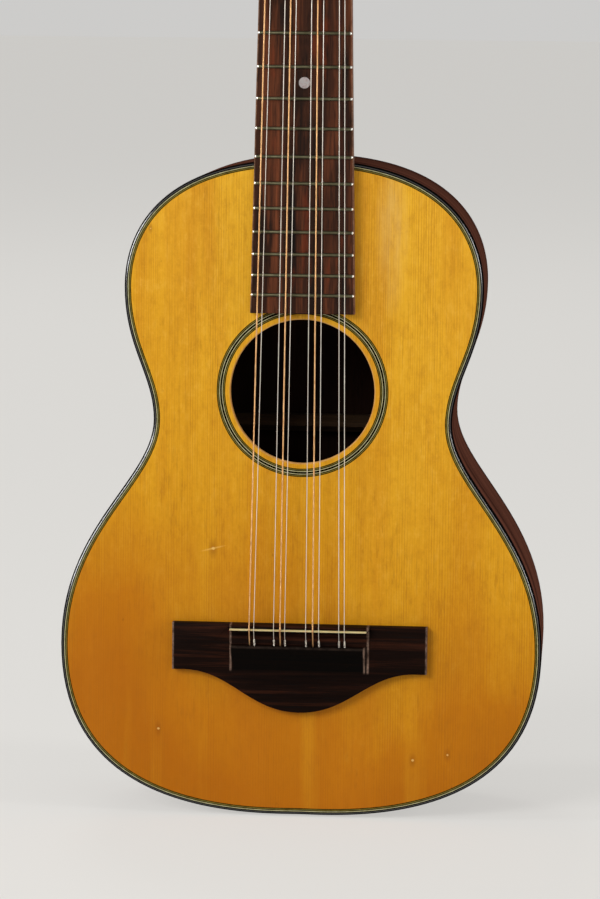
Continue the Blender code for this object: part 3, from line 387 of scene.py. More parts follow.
GEAR_MIDDLE = PLATE_BACK + GAP + WORM_CLEARANCE + WORM_OUTER_RADIUS
BUTTON_START = HEADSTOCK_TOP_WIDTH / 2 - POST_X + BUTTON_CLEARANCE
BUSHING_PROFILE = (
    (POST_RADIUS + GAP, 0.0),
    (BUSHING_RADIUS, 0.0),
    (BUSHING_RADIUS, 0.5),
    (BUSHING_RADIUS - 0.6, 1.0),
    (POST_RADIUS + GAP, BUSHING_HEIGHT),
)


# Shader nodes


def srgb(red, green, blue):
    """A colour given in 0 to 255 steps, in linear light."""
    linear = []
    for level in (red, green, blue):
        share = level / 255.0
        linear.append(share / 12.92 if share <= 0.04045 else ((share + 0.055) / 1.055) ** 2.4)
    return (*linear, 1.0)


def node(tree, kind, inputs=None, **settings):
    """A shader node. An input is a value, or another node's output to link."""
    made = tree.nodes.new(kind)
    for setting, value in settings.items():
        setattr(made, setting, value)
    for key, value in (inputs or {}).items():
        if isinstance(value, bpy.types.NodeSocket):
            tree.links.new(value, made.inputs[key])
        else:
            made.inputs[key].default_value = value
    return made


def object_place(tree):
    """Object coordinates in metres, as one vector."""
    return node(tree, "ShaderNodeTexCoord").outputs["Object"]


def object_axes(tree):
    """Object coordinates in metres, as x, y and z."""
    parts = node(tree, "ShaderNodeSeparateXYZ", {0: object_place(tree)}).outputs
    return parts["X"], parts["Y"], parts["Z"]


def noise(tree, scale, detail, roughness, stretch=(1.0, 1.0, 1.0), move=(0.0, 0.0, 0.0), distortion=0.0):
    """A noise value from 0 to 1. A small number in stretch draws it out along that axis."""
    inputs = {"Vector": object_place(tree), "Scale": stretch, "Location": move}
    place = node(tree, "ShaderNodeMapping", inputs).outputs[0]
    inputs = {"Vector": place, "Scale": scale, "Detail": detail, "Roughness": roughness,
              "Distortion": distortion}
    return node(tree, "ShaderNodeTexNoise", inputs).outputs[0]


def ramp(tree, value, *stops):
    """Colours by value, from (place, colour) stops."""
    made = node(tree, "ShaderNodeValToRGB", {"Fac": value})
    elements = made.color_ramp.elements
    while len(elements) < len(stops):
        elements.new(0.5)
    for element, (place, colour) in zip(elements, stops):
        element.position = place
        element.color = srgb(*colour)
    return made.outputs[0]


def spread(tree, value, low, high, new_low=0.0, new_high=1.0):
    """A value moved from one range to another, kept inside the new one."""
    inputs = {"Value": value, "From Min": low, "From Max": high, "To Min": new_low, "To Max": new_high}
    return node(tree, "ShaderNodeMapRange", inputs).outputs[0]


def coated(tree, below, *coats):
    """A colour with (factor, colour) coats laid over it in turn."""
    for factor, colour in coats:
        inputs = {MIX_FACTOR: factor, MIX_BELOW: below, MIX_ABOVE: srgb(*colour)}
        below = node(tree, "ShaderNodeMix", inputs, data_type="RGBA").outputs[MIX_RESULT]
    return below


def maths(tree, operation, first, *others):
    """Arithmetic on a value alone, or on several values in turn."""
    if not others:
        return node(tree, "ShaderNodeMath", {0: first}, operation=operation).outputs[0]
    for other in others:
        first = node(tree, "ShaderNodeMath", {0: first, 1: other}, operation=operation).outputs[0]
    return first


def near(tree, value, centre, reach):
    """1 where a value in metres is at a centre in millimetres, falling to 0 at its reach."""
    away = maths(tree, "ABSOLUTE", maths(tree, "SUBTRACT", value, centre * MM))
    return spread(tree, away, 0.3 * reach * MM, reach * MM, 1.0, 0.0)


def oval_distance(tree, centre, reach, turn=0.0):
    """Distance on the soundboard from a point, as a share of an oval's reach along x and z."""
    move = (-centre[0] * MM, 0.0, -centre[1] * MM)
    share = (1.0 / (reach[0] * MM), 0.0, 1.0 / (reach[1] * MM))
    moved = node(tree, "ShaderNodeVectorMath", {0: object_place(tree), 1: move}, operation="ADD").outputs[0]
    turned = node(tree, "ShaderNodeMapping", {"Vector": moved, "Rotation": (0.0, turn, 0.0)}).outputs[0]
    scaled = node(tree, "ShaderNodeVectorMath", {0: turned, 1: share}, operation="MULTIPLY").outputs[0]
    return node(tree, "ShaderNodeVectorMath", {0: scaled}, operation="LENGTH").outputs["Value"]


def new_surface(name, **sockets):
    """A material with values on its shader's own sockets. Returns it, its tree and its shader."""
    made = bpy.data.materials.new(name)
    made.use_nodes = True
    shader = made.node_tree.nodes["Principled BSDF"]
    for key, value in sockets.items():
        shader.inputs[key.replace("_", " ")].default_value = value
    return made, made.node_tree, shader


def drive(tree, shader, bump=None, **sockets):
    """Links outputs to the shader's sockets. A bump is (height, strength, distance in millimetres)."""
    for key, value in sockets.items():
        tree.links.new(value, shader.inputs[key.replace("_", " ")])
    if bump:
        height, strength, distance = bump
        inputs = {"Height": height, "Strength": strength, "Distance": distance * MM}
        tree.links.new(node(tree, "ShaderNodeBump", inputs).outputs[0], shader.inputs["Normal"])


# Materials


def spruce_surface():
    """Old varnished spruce: amber, painted shade towards the tail, upright grain, silk and small marks."""
    made, tree, shader = new_surface("varnished_spruce", Specular_IOR_Level=0.12)
    x, y, z = object_axes(tree)
    patches = noise(tree, 15.0, 3.0, 0.55, (1.0, 1.0, 0.5), (0.7, 0.0, 0.2), 0.4)
    # Painted shade darkens the spruce towards the tail; it is also darker towards the bass side, with random
    # patches of tone
    height = maths(tree, "ADD", spread(tree, z, BODY_BOTTOM * MM, BODY_TOP * MM),
                   spread(tree, x, -0.1, 0.02, -0.16, 0.0), spread(tree, patches, 0.3, 0.7, -0.09, 0.09))
    pale = spread(tree, height, 0.1, 0.6, 0.08, 1.0)
    wander = noise(tree, 26.0, 3.0, 0.5, (1.0, 1.0, 0.04))
    turns = maths(tree, "MULTIPLY", maths(tree, "ABSOLUTE", x), 2.0 * math.pi / (RING_SPACING * MM))
    wave = maths(tree, "SINE", maths(tree, "ADD", turns, maths(tree, "MULTIPLY", wander, 38.0)))
    uneven = noise(tree, 110.0, 5.0, 0.7, (1.0, 1.0, 0.05), (0.4, 0.0, 0.1))
    rings = maths(tree, "MULTIPLY", spread(tree, wave, 0.1, 1.0), spread(tree, uneven, 0.4, 0.64))
    streaks = noise(tree, 44.0, 4.0, 0.62, (1.0, 1.0, 0.06), (0.3, 0.0, 0.0))
    fibre = noise(tree, 1900.0, 3.0, 0.6, (1.0, 1.0, 0.015))
    mottle = noise(tree, 230.0, 6.0, 0.78, (1.0, 1.0, 0.45), (0.2, 0.0, 0.9))
    strokes = noise(tree, 620.0, 4.0, 0.7, (1.0, 1.0, 0.12), (0.8, 0.0, 0.4))
    grime = noise(tree, 38.0, 3.0, 0.6, (1.0, 1.0, 0.6), (0.5, 0.0, 0.5))
    silk = noise(tree, 900.0, 3.0, 0.6, (0.45, 1.0, 1.0), (0.1, 0.0, 0.6))
    specks = noise(tree, 330.0, 1.0, 0.4, (1.0, 1.0, 0.6))
    reflection_breakup = noise(tree, 260.0, 4.0, 0.6, (1.0, 1.0, 0.12))
    gloss = noise(tree, 26.0, 5.0, 0.6)
    ragged = spread(tree, mottle, 0.3, 0.7, -0.45, 0.45)
    # Colours from the painted shade at the tail up to the paler top
    base = ramp(tree, height, (0.0, (170, 97, 5)), (0.14, (181, 110, 7)), (0.38, (206, 146, 22)),
                (0.7, (218, 161, 34)), (0.9, (224, 168, 40)))
    coats = [
        (spread(tree, streaks, 0.48, 0.68, 0.0, 0.42), (182, 108, 14)),
        (spread(tree, streaks, 0.44, 0.3, 0.0, 0.18), (230, 176, 40)),
        (maths(tree, "MULTIPLY", rings, 0.36), (150, 84, 10)),
        (spread(tree, fibre, 0.5, 0.75, 0.0, 0.4), (160, 92, 12)),
        (spread(tree, mottle, 0.5, 0.72, 0.0, 0.4), (158, 92, 14)),
        (maths(tree, "MULTIPLY", spread(tree, mottle, 0.48, 0.3, 0.0, 0.3), pale), (238, 188, 78)),
        (maths(tree, "MULTIPLY", spread(tree, strokes, 0.52, 0.66, 0.0, 0.38),
               spread(tree, grime, 0.46, 0.62, 0.12, 1.0)), (146, 88, 14)),
        (maths(tree, "MULTIPLY", spread(tree, silk, 0.54, 0.76, 0.0, 0.14), pale), (240, 186, 70)),
        (spread(tree, specks, 0.76, 0.82, 0.0, 0.4), (120, 62, 12)),
        # A painted reflection: a pale oval patch on the varnish, broken up by noise
        (maths(tree, "MULTIPLY", spread(tree, oval_distance(tree, *REFLECTION_PATCH), 0.5, 1.3, 0.13, 0.0),
               spread(tree, reflection_breakup, 0.35, 0.65, 0.3, 1.6)), (222, 198, 140)),
    ]
    for centre, size in DINGS:
        stain = maths(tree, "ADD", oval_distance(tree, centre, (1.1 * size, 2.2 * size)), ragged)
        fleck = maths(tree, "ADD", oval_distance(tree, centre, (0.5 * size, 0.45 * size)), ragged)
        coats.append((spread(tree, stain, 0.2, 1.4, 0.5, 0.0), (132, 70, 10)))
        coats.append((spread(tree, fleck, 0.6, 1.0, 0.6, 0.0), (236, 194, 112)))
    coats.append((spread(tree, oval_distance(tree, *SCRATCH), 0.4, 1.2, 0.4, 0.0), (236, 190, 96)))
    relief = maths(tree, "ADD", maths(tree, "MULTIPLY", rings, -0.6), maths(tree, "MULTIPLY", fibre, 0.4))
    drive(tree, shader, (relief, 0.3, 0.04), Base_Color=coated(tree, base, *coats),
          Roughness=spread(tree, gloss, 0.3, 0.7, 0.3, 0.46))
    return made


def rosewood_surface(name, along, tones, roughness, streak_scale, specular):
    """Rosewood in light, middle and dark tones, with streaks and open pores along the named axes."""
    made, tree, shader = new_surface(name, Specular_IOR_Level=specular)
    light, middle, dark = tones
    stretch = [0.035 if axis in along else 1.0 for axis in "xyz"]
    pore_stretch = [0.05 if axis in along else 1.0 for axis in "xyz"]
    streaks = noise(tree, streak_scale, 5.0, 0.6, stretch, distortion=0.6)
    fine = noise(tree, 9 * streak_scale, 3.0, 0.6, stretch, (0.2, 0.1, 0.4))
    pores = noise(tree, 1900.0, 2.0, 0.5, pore_stretch, (0.5, 0.3, 0.1))
    wear = noise(tree, 40.0, 4.0, 0.6)
    colour = coated(tree, ramp(tree, streaks, (0.3, dark), (0.5, middle), (0.72, light)),
                    (spread(tree, fine, 0.45, 0.75, 0.0, 0.55), dark),
                    (spread(tree, pores, 0.62, 0.74, 0.0, 0.75), (13, 13, 13)))
    drive(tree, shader, (spread(tree, pores, 0.6, 0.74, 1.0, 0.0), 0.35, 0.08), Base_Color=colour,
          Roughness=spread(tree, wear, 0.3, 0.7, roughness - 0.06, roughness + 0.1))
    return made


def laid_over(made, *coats):
    """Lays coats over the colour that a surface already has."""
    tree = made.node_tree
    shader = tree.nodes["Principled BSDF"]
    below = shader.inputs["Base Color"].links[0].from_socket
    drive(tree, shader, Base_Color=coated(tree, below, *coats))
    return made


def bridge_surface():
    """Dark bridge rosewood: painted shade on the block, and painted highlight with wear on the wing and
    raised ends.
    """
    made = rosewood_surface("bridge_rosewood", "x", ((60, 30, 18), (22, 10, 6), (8, 4, 3)), 0.5, 280.0, 0.03)
    tree = made.node_tree
    x, y, z = object_axes(tree)
    half = BRIDGE_MIDDLE_SPAN / 2
    from_middle = maths(tree, "ABSOLUTE", x)
    raised = spread(tree, y, -(BRIDGE_WING_HEIGHT + 0.9) * MM, -(BRIDGE_WING_HEIGHT + 0.4) * MM, 1.0, 0.0)
    below_front = spread(tree, z, (BRIDGE_BLOCK_FRONT + 0.4) * MM, BRIDGE_BLOCK_FRONT * MM)
    above_end = spread(tree, z, (BRIDGE_FRONT - 22.6) * MM, (BRIDGE_FRONT - 21.4) * MM)
    beside = spread(tree, from_middle, (half - BLOCK_INSET) * MM, half * MM, 1.0, 0.0)
    # Pale painted highlight, partly rubbed wear, on the wing and step ends, and faintly on the block's crest
    wing_ends = near(tree, from_middle, BRIDGE_SPAN / 2 - 0.25, 0.7)
    step_ends = near(tree, from_middle, half - 0.25, 0.7)
    block_end = maths(tree, "MULTIPLY", near(tree, x, half - BLOCK_INSET - 0.2, 0.6), below_front)
    crest = maths(tree, "MULTIPLY", raised, near(tree, z, BRIDGE_BLOCK_FRONT - 0.5, 0.8))
    patchy = noise(tree, 420.0, 4.0, 0.7)
    # Painted shade: the string block behind its front edge is darkened nearly to black
    block = maths(tree, "MULTIPLY", below_front,
                  maths(tree, "MAXIMUM", raised, maths(tree, "MULTIPLY", above_end, beside)), 0.95)
    steps = maths(tree, "MULTIPLY", above_end, maths(tree, "MAXIMUM", step_ends, block_end))
    glint_edges = maths(tree, "MAXIMUM", wing_ends, steps, maths(tree, "MULTIPLY", crest, 0.09))
    pale_edge_glint = maths(tree, "MULTIPLY", glint_edges, spread(tree, patchy, 0.38, 0.62, 0.25, 0.9))
    return laid_over(made, (block, (4, 3, 2)), (pale_edge_glint, (130, 106, 92)))


def board_surface():
    """Fingerboard rosewood: broken red and black streaks, and a pale painted highlight along its long edges.
    """
    made = rosewood_surface("board_rosewood", "z", ((116, 62, 36), (60, 32, 19), (15, 10, 7)), 0.46, 200.0,
                            0.08)
    tree = made.node_tree
    x, y, z = object_axes(tree)
    bands = noise(tree, 130.0, 4.0, 0.65, (1.0, 1.0, 0.16), (0.6, 0.0, 0.3))
    patchy = noise(tree, 300.0, 4.0, 0.7)
    taper = (FINGERBOARD_END_WIDTH - NUT_WIDTH) / FINGERBOARD_END / 2
    from_middle = maths(tree, "SUBTRACT", maths(tree, "ABSOLUTE", x), maths(tree, "MULTIPLY", z, taper))
    # A pale painted highlight along the board's long edges, broken up by noise
    pale_edge_glint = maths(tree, "MULTIPLY", near(tree, from_middle, NUT_WIDTH / 2 - 0.15, 0.6),
                 spread(tree, patchy, 0.35, 0.65, 0.2, 0.7))
    return laid_over(made, (spread(tree, bands, 0.5, 0.62, 0.0, 0.8), (16, 11, 7)),
                     (spread(tree, bands, 0.42, 0.32, 0.0, 0.5), (112, 48, 24)), (pale_edge_glint, (150, 112, 88)))


def mottled_surface(name, grain, stops=(), gloss=(), relief=(), **sockets):
    """A material whose colour, roughness and relief follow one noise.

    The grain is the noise's settings, the stops are its colours, the gloss is its range and the roughness
    at each end, and the relief is the bump's strength and distance.
    """
    made, tree, shader = new_surface(name, **sockets)
    value = noise(tree, *grain)
    if stops:
        drive(tree, shader, Base_Color=ramp(tree, value, *stops))
    if gloss:
        drive(tree, shader, Roughness=spread(tree, value, *gloss))
    if relief:
        drive(tree, shader, (value, *relief))
    return made


def binding_surface(name, specular):
    """Black plastic with faint handling marks."""
    return mottled_surface(name, (180.0, 5.0, 0.7), gloss=(0.3, 0.8, 0.16, 0.3), relief=(0.06, 0.05),
                           Base_Color=srgb(9, 8, 8), Specular_IOR_Level=specular)


def line_surface(name, light, dark):
    """A thin inlaid wood line, a little uneven along its length."""
    return mottled_surface(name, (300.0, 3.0, 0.6), ((0.35, dark), (0.65, light)), (0.3, 0.7, 0.3, 0.45),
                           Specular_IOR_Level=0.0)


def metal_surface(name, light, dark, smooth, rough, scale=220.0, stretch=(1.0, 1.0, 1.0)):
    """Metal with uneven tarnish in its colour and its gloss."""
    return mottled_surface(name, (scale, 5.0, 0.65, stretch), ((0.3, dark), (0.65, light)),
                           (0.3, 0.7, rough, smooth), (0.05, 0.03), Metallic=1.0)


def wound_surface():
    """Bronze wire wound tightly round a core, as ridges across the string."""
    made = mottled_surface("wound_bronze", (300.0, 3.0, 0.6),
                           ((0.3, (180, 132, 86)), (0.65, (208, 164, 116))), Metallic=1.0, Roughness=0.32)
    tree = made.node_tree
    x, y, z = object_axes(tree)
    turns = maths(tree, "SINE", maths(tree, "MULTIPLY", z, 2.0 * math.pi / (WINDING_PITCH * MM)))
    drive(tree, tree.nodes["Principled BSDF"], (turns, 0.25, 0.05))
    return made


# Every surface under the record's slot for it
SURFACES_BY_SLOT = {
    "spruce": {
        "spruce": spruce_surface(),
        "spruce_rim": mottled_surface(
            "spruce_rim", (700.0, 4.0, 0.6, (1.0, 1.0, 0.1)), ((0.3, (180, 124, 60)), (0.7, (212, 160, 92))),
            (0.3, 0.7, 0.5, 0.65), Specular_IOR_Level=0.1),
    },
    "rosewood": {
        "side_rosewood": rosewood_surface("side_rosewood", "xz", ((118, 70, 54), (92, 55, 43), (56, 31, 24)),
                                          0.5, 90.0, 0.0),
        "back_rosewood": rosewood_surface("back_rosewood", "z", ((112, 58, 38), (80, 40, 28), (38, 19, 14)),
                                          0.34, 42.0, 0.3),
        # Painted shade: the body's inside faces, in rosewood darkened far below its own brown
        "shaded_inner_rosewood": rosewood_surface("shaded_inner_rosewood", "z", ((46, 28, 20), (34, 21, 16), (22, 14, 11)),
                                           0.8, 42.0, 0.0),
        "bridge_rosewood": bridge_surface(),
        "board_rosewood": board_surface(),
    },
    "mahogany": {
        "mahogany": rosewood_surface("stained_mahogany", "z", ((122, 62, 36), (104, 50, 29), (74, 34, 20)),
                                     0.36, 45.0, 0.25),
    },
    "inner_wood": {
        # Painted shade: bare wood inside the body, darkened far below its own tone
        "shaded_bare_wood": mottled_surface(
            "shaded_bare_wood", (500.0, 4.0, 0.6, (0.05, 1.0, 1.0)), ((0.3, (42, 29, 17)), (0.7, (60, 42, 26))),
            relief=(0.3, 0.1), Roughness=0.8, Specular_IOR_Level=0.1),
    },
    "binding": {
        "binding": binding_surface("black_binding", 0.0),
        "binding_facet": binding_surface("scraped_binding", 1.0),
    },
    "inlay": {
        "cream_line": line_surface("cream_line", (178, 172, 130), (148, 142, 102)),
        "green_line": line_surface("green_line", (116, 103, 44), (92, 80, 32)),
        "black_line": line_surface("black_line", (12, 10, 6), (5, 4, 2)),
    },
    "bone": {
        "bone": mottled_surface(
            "aged_bone", (700.0, 4.0, 0.6, (0.2, 1.0, 1.0)), ((0.3, (176, 160, 108)), (0.7, (206, 192, 142))),
            (0.3, 0.7, 0.32, 0.48), (0.1, 0.05), Subsurface_Weight=0.15, Subsurface_Scale=0.002),
    },
    "pearl": {
        "pearl": mottled_surface(
            "pearl_dot", (420.0, 3.0, 0.5, (1.0, 1.0, 1.0), (0.0, 0.0, 0.0), 1.2),
            ((0.3, (138, 124, 124)), (0.5, (158, 146, 144)), (0.7, (150, 152, 150))),
            (0.3, 0.7, 0.2, 0.35), Coat_Weight=0.4, Coat_Roughness=0.08),
    },
    "steel": {
        "nickel": metal_surface("worn_nickel", (206, 202, 194), (150, 144, 134), 0.2, 0.42),
        # The fret metal in two copies: darkened wire as painted shade, and bright ends as painted glints
        "shaded_fret_wire": metal_surface("shaded_fret_wire", (110, 106, 82), (76, 73, 54), 0.26, 0.42),
        "glinting_fret_tip": metal_surface("glinting_fret_tip", (246, 244, 238), (214, 210, 200), 0.16, 0.3),
        "string_steel": metal_surface("string_steel", (228, 220, 208), (196, 188, 176), 0.3, 0.42, 90.0,
                                      (1.0, 1.0, 0.1)),
    },
    "bronze": {
        "bronze": wound_surface(),
    },
    "plastic": {
        "ivory": mottled_surface(
            "ivory_plastic", (120.0, 4.0, 0.6, (1.0, 1.0, 0.4)),
            ((0.3, (214, 200, 160)), (0.7, (232, 222, 192))), (0.3, 0.7, 0.25, 0.4),
            Subsurface_Weight=0.2, Subsurface_Scale=0.004, Coat_Weight=0.3, Coat_Roughness=0.1),
    },
}
SURFACES = {name: made for group in SURFACES_BY_SLOT.values() for name, made in group.items()}


# Mesh helpers


def add_object(name, data):
    """An object in the scene that shows a mesh, a curve, a light or a camera."""
    made = bpy.data.objects.new(name, data)
    bpy.context.scene.collection.objects.link(made)
    return made


def solid(name, shape):
    """An object from a bmesh drawn in millimetres."""
    bmesh.ops.scale(shape, vec=(MM, MM, MM), verts=shape.verts)
    bmesh.ops.recalc_face_normals(shape, faces=shape.faces)
    mesh = bpy.data.meshes.new(name)
    shape.to_mesh(mesh)
    shape.free()
    return add_object(name, mesh)


def dress(made, surface, body="body", replaced=()):
    """Gives a shown piece its surface, its body and the nodes that it replaces."""
    made.data.materials.append(SURFACES[surface])
    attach(made, body)
    if replaced:
        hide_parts(*replaced)
    return made


def piece(name, shape, surface, body="body", replaced=(), angle=SHARP_ANGLE, second=None):
    """A shown piece from a bmesh drawn in millimetres, riding on a body."""
    made = dress(solid(name, shape), surface, body, replaced)
    if second:
        made.data.materials.append(SURFACES[second])
    made.data.shade_smooth()
    made.data.set_sharp_from_angle(angle=math.radians(angle))
    return made


def loft_shape(loops, ring=False):
    """A bmesh that joins loops of equal length in turn, closed by caps or back to the first loop."""
    shape = bmesh.new()
    add_loft(shape, loops, ring)
    return shape


def add_loft(shape, loops, ring=False):
    """Adds one lofted solid to a bmesh."""
    rows = [[shape.verts.new(point) for point in loop] for loop in loops]
    pairs = list(zip(rows, rows[1:]))
    if ring:
        pairs.append((rows[-1], rows[0]))
    for row, following in pairs:
        for i in range(len(row)):
            j = (i + 1) % len(row)
            shape.faces.new((row[i], row[j], following[j], following[i]))
    if not ring:
        shape.faces.new(rows[0])
        shape.faces.new(list(reversed(rows[-1])))


def bar_shape(section, ends):
    """A bmesh of a bar along x between two ends, from (y, z) points."""
    return loft_shape([[(x, y, z) for y, z in section] for x in ends])


def use_second_surface(shape, chosen):
    """Marks the faces that a test picks for the piece's second surface."""
    shape.faces.index_update()
    for face in shape.faces:
        if chosen(face):
            face.material_index = 1


def circle(radius, sides):
    """Points round a circle in its own plane."""
    turns = [2.0 * math.pi * i / sides for i in range(sides)]
    return [(radius * math.cos(t), radius * math.sin(t)) for t in turns]


def round_edges(made, width, segments=2, angle=40.0):
    """Softens a piece's sharp edges."""
    step = made.modifiers.new("soft_edges", "BEVEL")
    step.width = width * MM
    step.segments = segments
    step.limit_method = "ANGLE"
    step.angle_limit = math.radians(angle)
    step.harden_normals = False
    return made


def carve(made, *steps):
    """Cuts or joins (bmesh, operation) steps to a piece, keeping what its modifiers do."""
    tools = [solid("tool", shape) for shape, operation in steps]
    for tool, (shape, operation) in zip(tools, steps):
        step = made.modifiers.new("carve", "BOOLEAN")
        step.operation = operation
        step.solver = "EXACT"
        step.object = tool
    bpy.context.view_layer.update()
    evaluated = made.evaluated_get(bpy.context.evaluated_depsgraph_get())
    cut = bpy.data.meshes.new_from_object(evaluated)
    made.modifiers.clear()
    made.data = cut
    for tool in tools:
        bpy.data.objects.remove(tool)
    cut.shade_smooth()
    cut.set_sharp_from_angle(angle=math.radians(SHARP_ANGLE))
    return made


def finish_node(name, surface, edge=0.0):
    """Keeps a node of the frame, with its own finish and softened edges."""
    kept = NODES[name]
    kept.data.materials.clear()
    kept.data.materials.append(SURFACES[surface])
    if edge:
        round_edges(kept, edge)
    return kept


# The body's outline


def bezier(p0, p1, p2, p3, steps):
    """(point, tangent) pairs along a cubic curve, without its last point."""
    pairs = []
    for i in range(steps):
        t = i / steps
        s = 1.0 - t
        point = s**3 * p0 + 3 * s * s * t * p1 + 3 * s * t * t * p2 + t**3 * p3
        tangent = s * s * (p1 - p0) + 2 * s * t * (p2 - p1) + t * t * (p3 - p2)
        pairs.append((point, tangent.normalized()))
    return pairs


def half_outline(inset=0.0):
    """(x, z) points of the treble half, from the top centre to the tail centre, moved inward by inset."""
    top = Vector((0.0, BODY_TOP))
    upper = Vector((UPPER_BOUT_WIDTH / 2, BODY_TOP - UPPER_BOUT_DROP))
    waist = Vector((WAIST_WIDTH / 2, BODY_TOP - WAIST_DROP))
    lower = Vector((LOWER_BOUT_WIDTH / 2, BODY_TOP - LOWER_BOUT_DROP))
    tail = Vector((0.0, BODY_BOTTOM))
    across = Vector((1.0, 0.0))
    down = Vector((0.0, -1.0))
    stretches = (
        (top, across, TOP_HANDLES, down, upper, TOP_STEPS),
        (upper, down, FLANK_HANDLES, down, waist, FLANK_STEPS),
        (waist, down, WAIST_HANDLES, down, lower, WAIST_STEPS),
        (lower, down, TAIL_HANDLES, -across, tail, TAIL_STEPS),
    )
    points = []
    for start, leave, handles, arrive, end, steps in stretches:
        pull, push = start + leave * handles[0], end - arrive * handles[1]
        for point, tangent in bezier(start, pull, push, end, steps):
            points.append((point.x + tangent.y * inset, point.y - tangent.x * inset))
    points.append((0.0, BODY_BOTTOM + inset))
    return points


def outline(inset=0.0):
    """(x, z) points once round the body."""
    half = half_outline(inset)
    return half + [(-x, z) for x, z in reversed(half[1:-1])]


def half_path(inset, top_x, tail_x):
    """The treble half from x = top_x at the top to x = tail_x at the tail."""
    half = half_outline(inset)
    widest = max(range(len(half)), key=lambda i: half[i][0])
    points = []
    for i, ((xa, za), (xb, zb)) in enumerate(zip(half, half[1:])):
        limit = top_x if i < widest else tail_x
        if xa >= limit:
            points.append((xa, za))
        if min(xa, xb) < limit < max(xa, xb):
            points.append((limit, za + (zb - za) * (limit - xa) / (xb - xa)))
    return points


def depth(z):
    """The back's distance behind the soundboard's face."""
    return DEPTH_AT_NECK + (DEPTH_AT_TAIL - DEPTH_AT_NECK) * (BODY_TOP - z) / BODY_LENGTH


def from_front(y):
    """A depth measured from the soundboard's face."""
    return lambda z: y


def from_back(y):
    """A depth measured inward from the back's outer face."""
    return lambda z: depth(z) - y


def ring_loops(section):
    """Loops once round the body for a section of (inset, depth rule) points."""
    return [[(x, rule(z), z) for x, z in outline(inset)] for inset, rule in section]


def slab_loops(points, front, back):
    """Two loops of a plate between two depths."""
    return [[(x, side(z), z) for x, z in points] for side in (front, back)]


# Body


def facing_circle(radius, around):
    """Points on a circle round the soundhole, each in the direction of a point of the outline."""
    points = []
    for x, z in around:
        angle = math.atan2(z - SOUNDHOLE_Z, x)
        points.append((radius * math.cos(angle), SOUNDHOLE_Z + radius * math.sin(angle)))
    return points


def make_soundboard():
    """The soundboard inside the purfling, with a soft-edged soundhole and the rosette's channel."""
    edge = outline(BINDING_WIDTH + sum(width for width, surface in PURFLING_LINES))
    channel_outer = ROSETTE_INNER_RADIUS + sum(width for width, surface in ROSETTE_LINES)
    section = [
        (edge, SOUNDBOARD_THICKNESS),
        (edge, 0.0),
        (facing_circle(channel_outer, edge), 0.0),
        (facing_circle(channel_outer, edge), ROSETTE_DEPTH),
        (facing_circle(ROSETTE_INNER_RADIUS, edge), ROSETTE_DEPTH),
        (facing_circle(ROSETTE_INNER_RADIUS, edge), 0.0),
    ]
    for i in range(SOUNDHOLE_STEPS + 1):
        turn = math.pi / 2 * i / SOUNDHOLE_STEPS
        radius = SOUNDHOLE_RADIUS + SOUNDHOLE_ROUND * (1.0 - math.sin(turn))
        section.append((facing_circle(radius, edge), SOUNDHOLE_ROUND * (1.0 - math.cos(turn))))
    section.append((facing_circle(SOUNDHOLE_RADIUS, edge), SOUNDBOARD_THICKNESS))
    loops = [[(x, y, z) for x, z in points] for points, y in section]
    shape = loft_shape(loops, ring=True)
    use_second_surface(shape, on_hole_rim)
    piece("soundboard_plate", shape, "spruce", replaced=["soundboard"], second="spruce_rim")


def on_hole_rim(face):
    """Whether a face belongs to the soundhole's rounded edge or wall."""
    from_hole = [math.hypot(corner.co.x, corner.co.z - SOUNDHOLE_Z) for corner in face.verts]
    return max(from_hole) < SOUNDHOLE_RADIUS + SOUNDHOLE_ROUND + RIM_MARGIN


def make_rosette():
    """Flush rings of dark, green and cream lines round the soundhole."""
    radius = ROSETTE_INNER_RADIUS
    for i, (width, surface) in enumerate(ROSETTE_LINES):
        corners = ((radius, 0.0), (radius + width, 0.0), (radius + width, ROSETTE_DEPTH),
                   (radius, ROSETTE_DEPTH))
        loops = [[(x, y, SOUNDHOLE_Z + z) for x, z in circle(r, ROSETTE_SIDES)] for r, y in corners]
        piece(f"rosette_ring_{i + 1}", loft_shape(loops, ring=True), surface, replaced=["rosette"])
        radius += width


def make_purfling():
    """Flush lines between the front binding and the soundboard."""
    inset = BINDING_WIDTH
    for i, (width, surface) in enumerate(PURFLING_LINES):
        section = ((inset, from_front(0.0)), (inset + width, from_front(0.0)),
                   (inset + width, from_front(PURFLING_DEPTH)), (inset, from_front(PURFLING_DEPTH)))
        piece(f"purfling_line_{i + 1}", loft_shape(ring_loops(section), ring=True), surface)
        inset += width


def make_bindings():
    """The front and back bindings, with a glossy scraped facet on their outer corner."""
    around = len(outline())
    for name, rule, node_name in (("front_edge_binding", from_front, "front_binding"),
                                  ("back_edge_binding", from_back, "back_binding")):
        section = [(inset, rule(into)) for inset, into in BINDING_CORNER]
        section += [(BINDING_WIDTH, rule(0.0)), (BINDING_WIDTH, rule(BINDING_HEIGHT)),
                    (0.0, rule(BINDING_HEIGHT))]
        shape = loft_shape(ring_loops(section), ring=True)
        use_second_surface(shape, lambda face: face.index // around == FACET_START)
        piece(name, shape, "binding", replaced=[node_name], second="binding_facet")


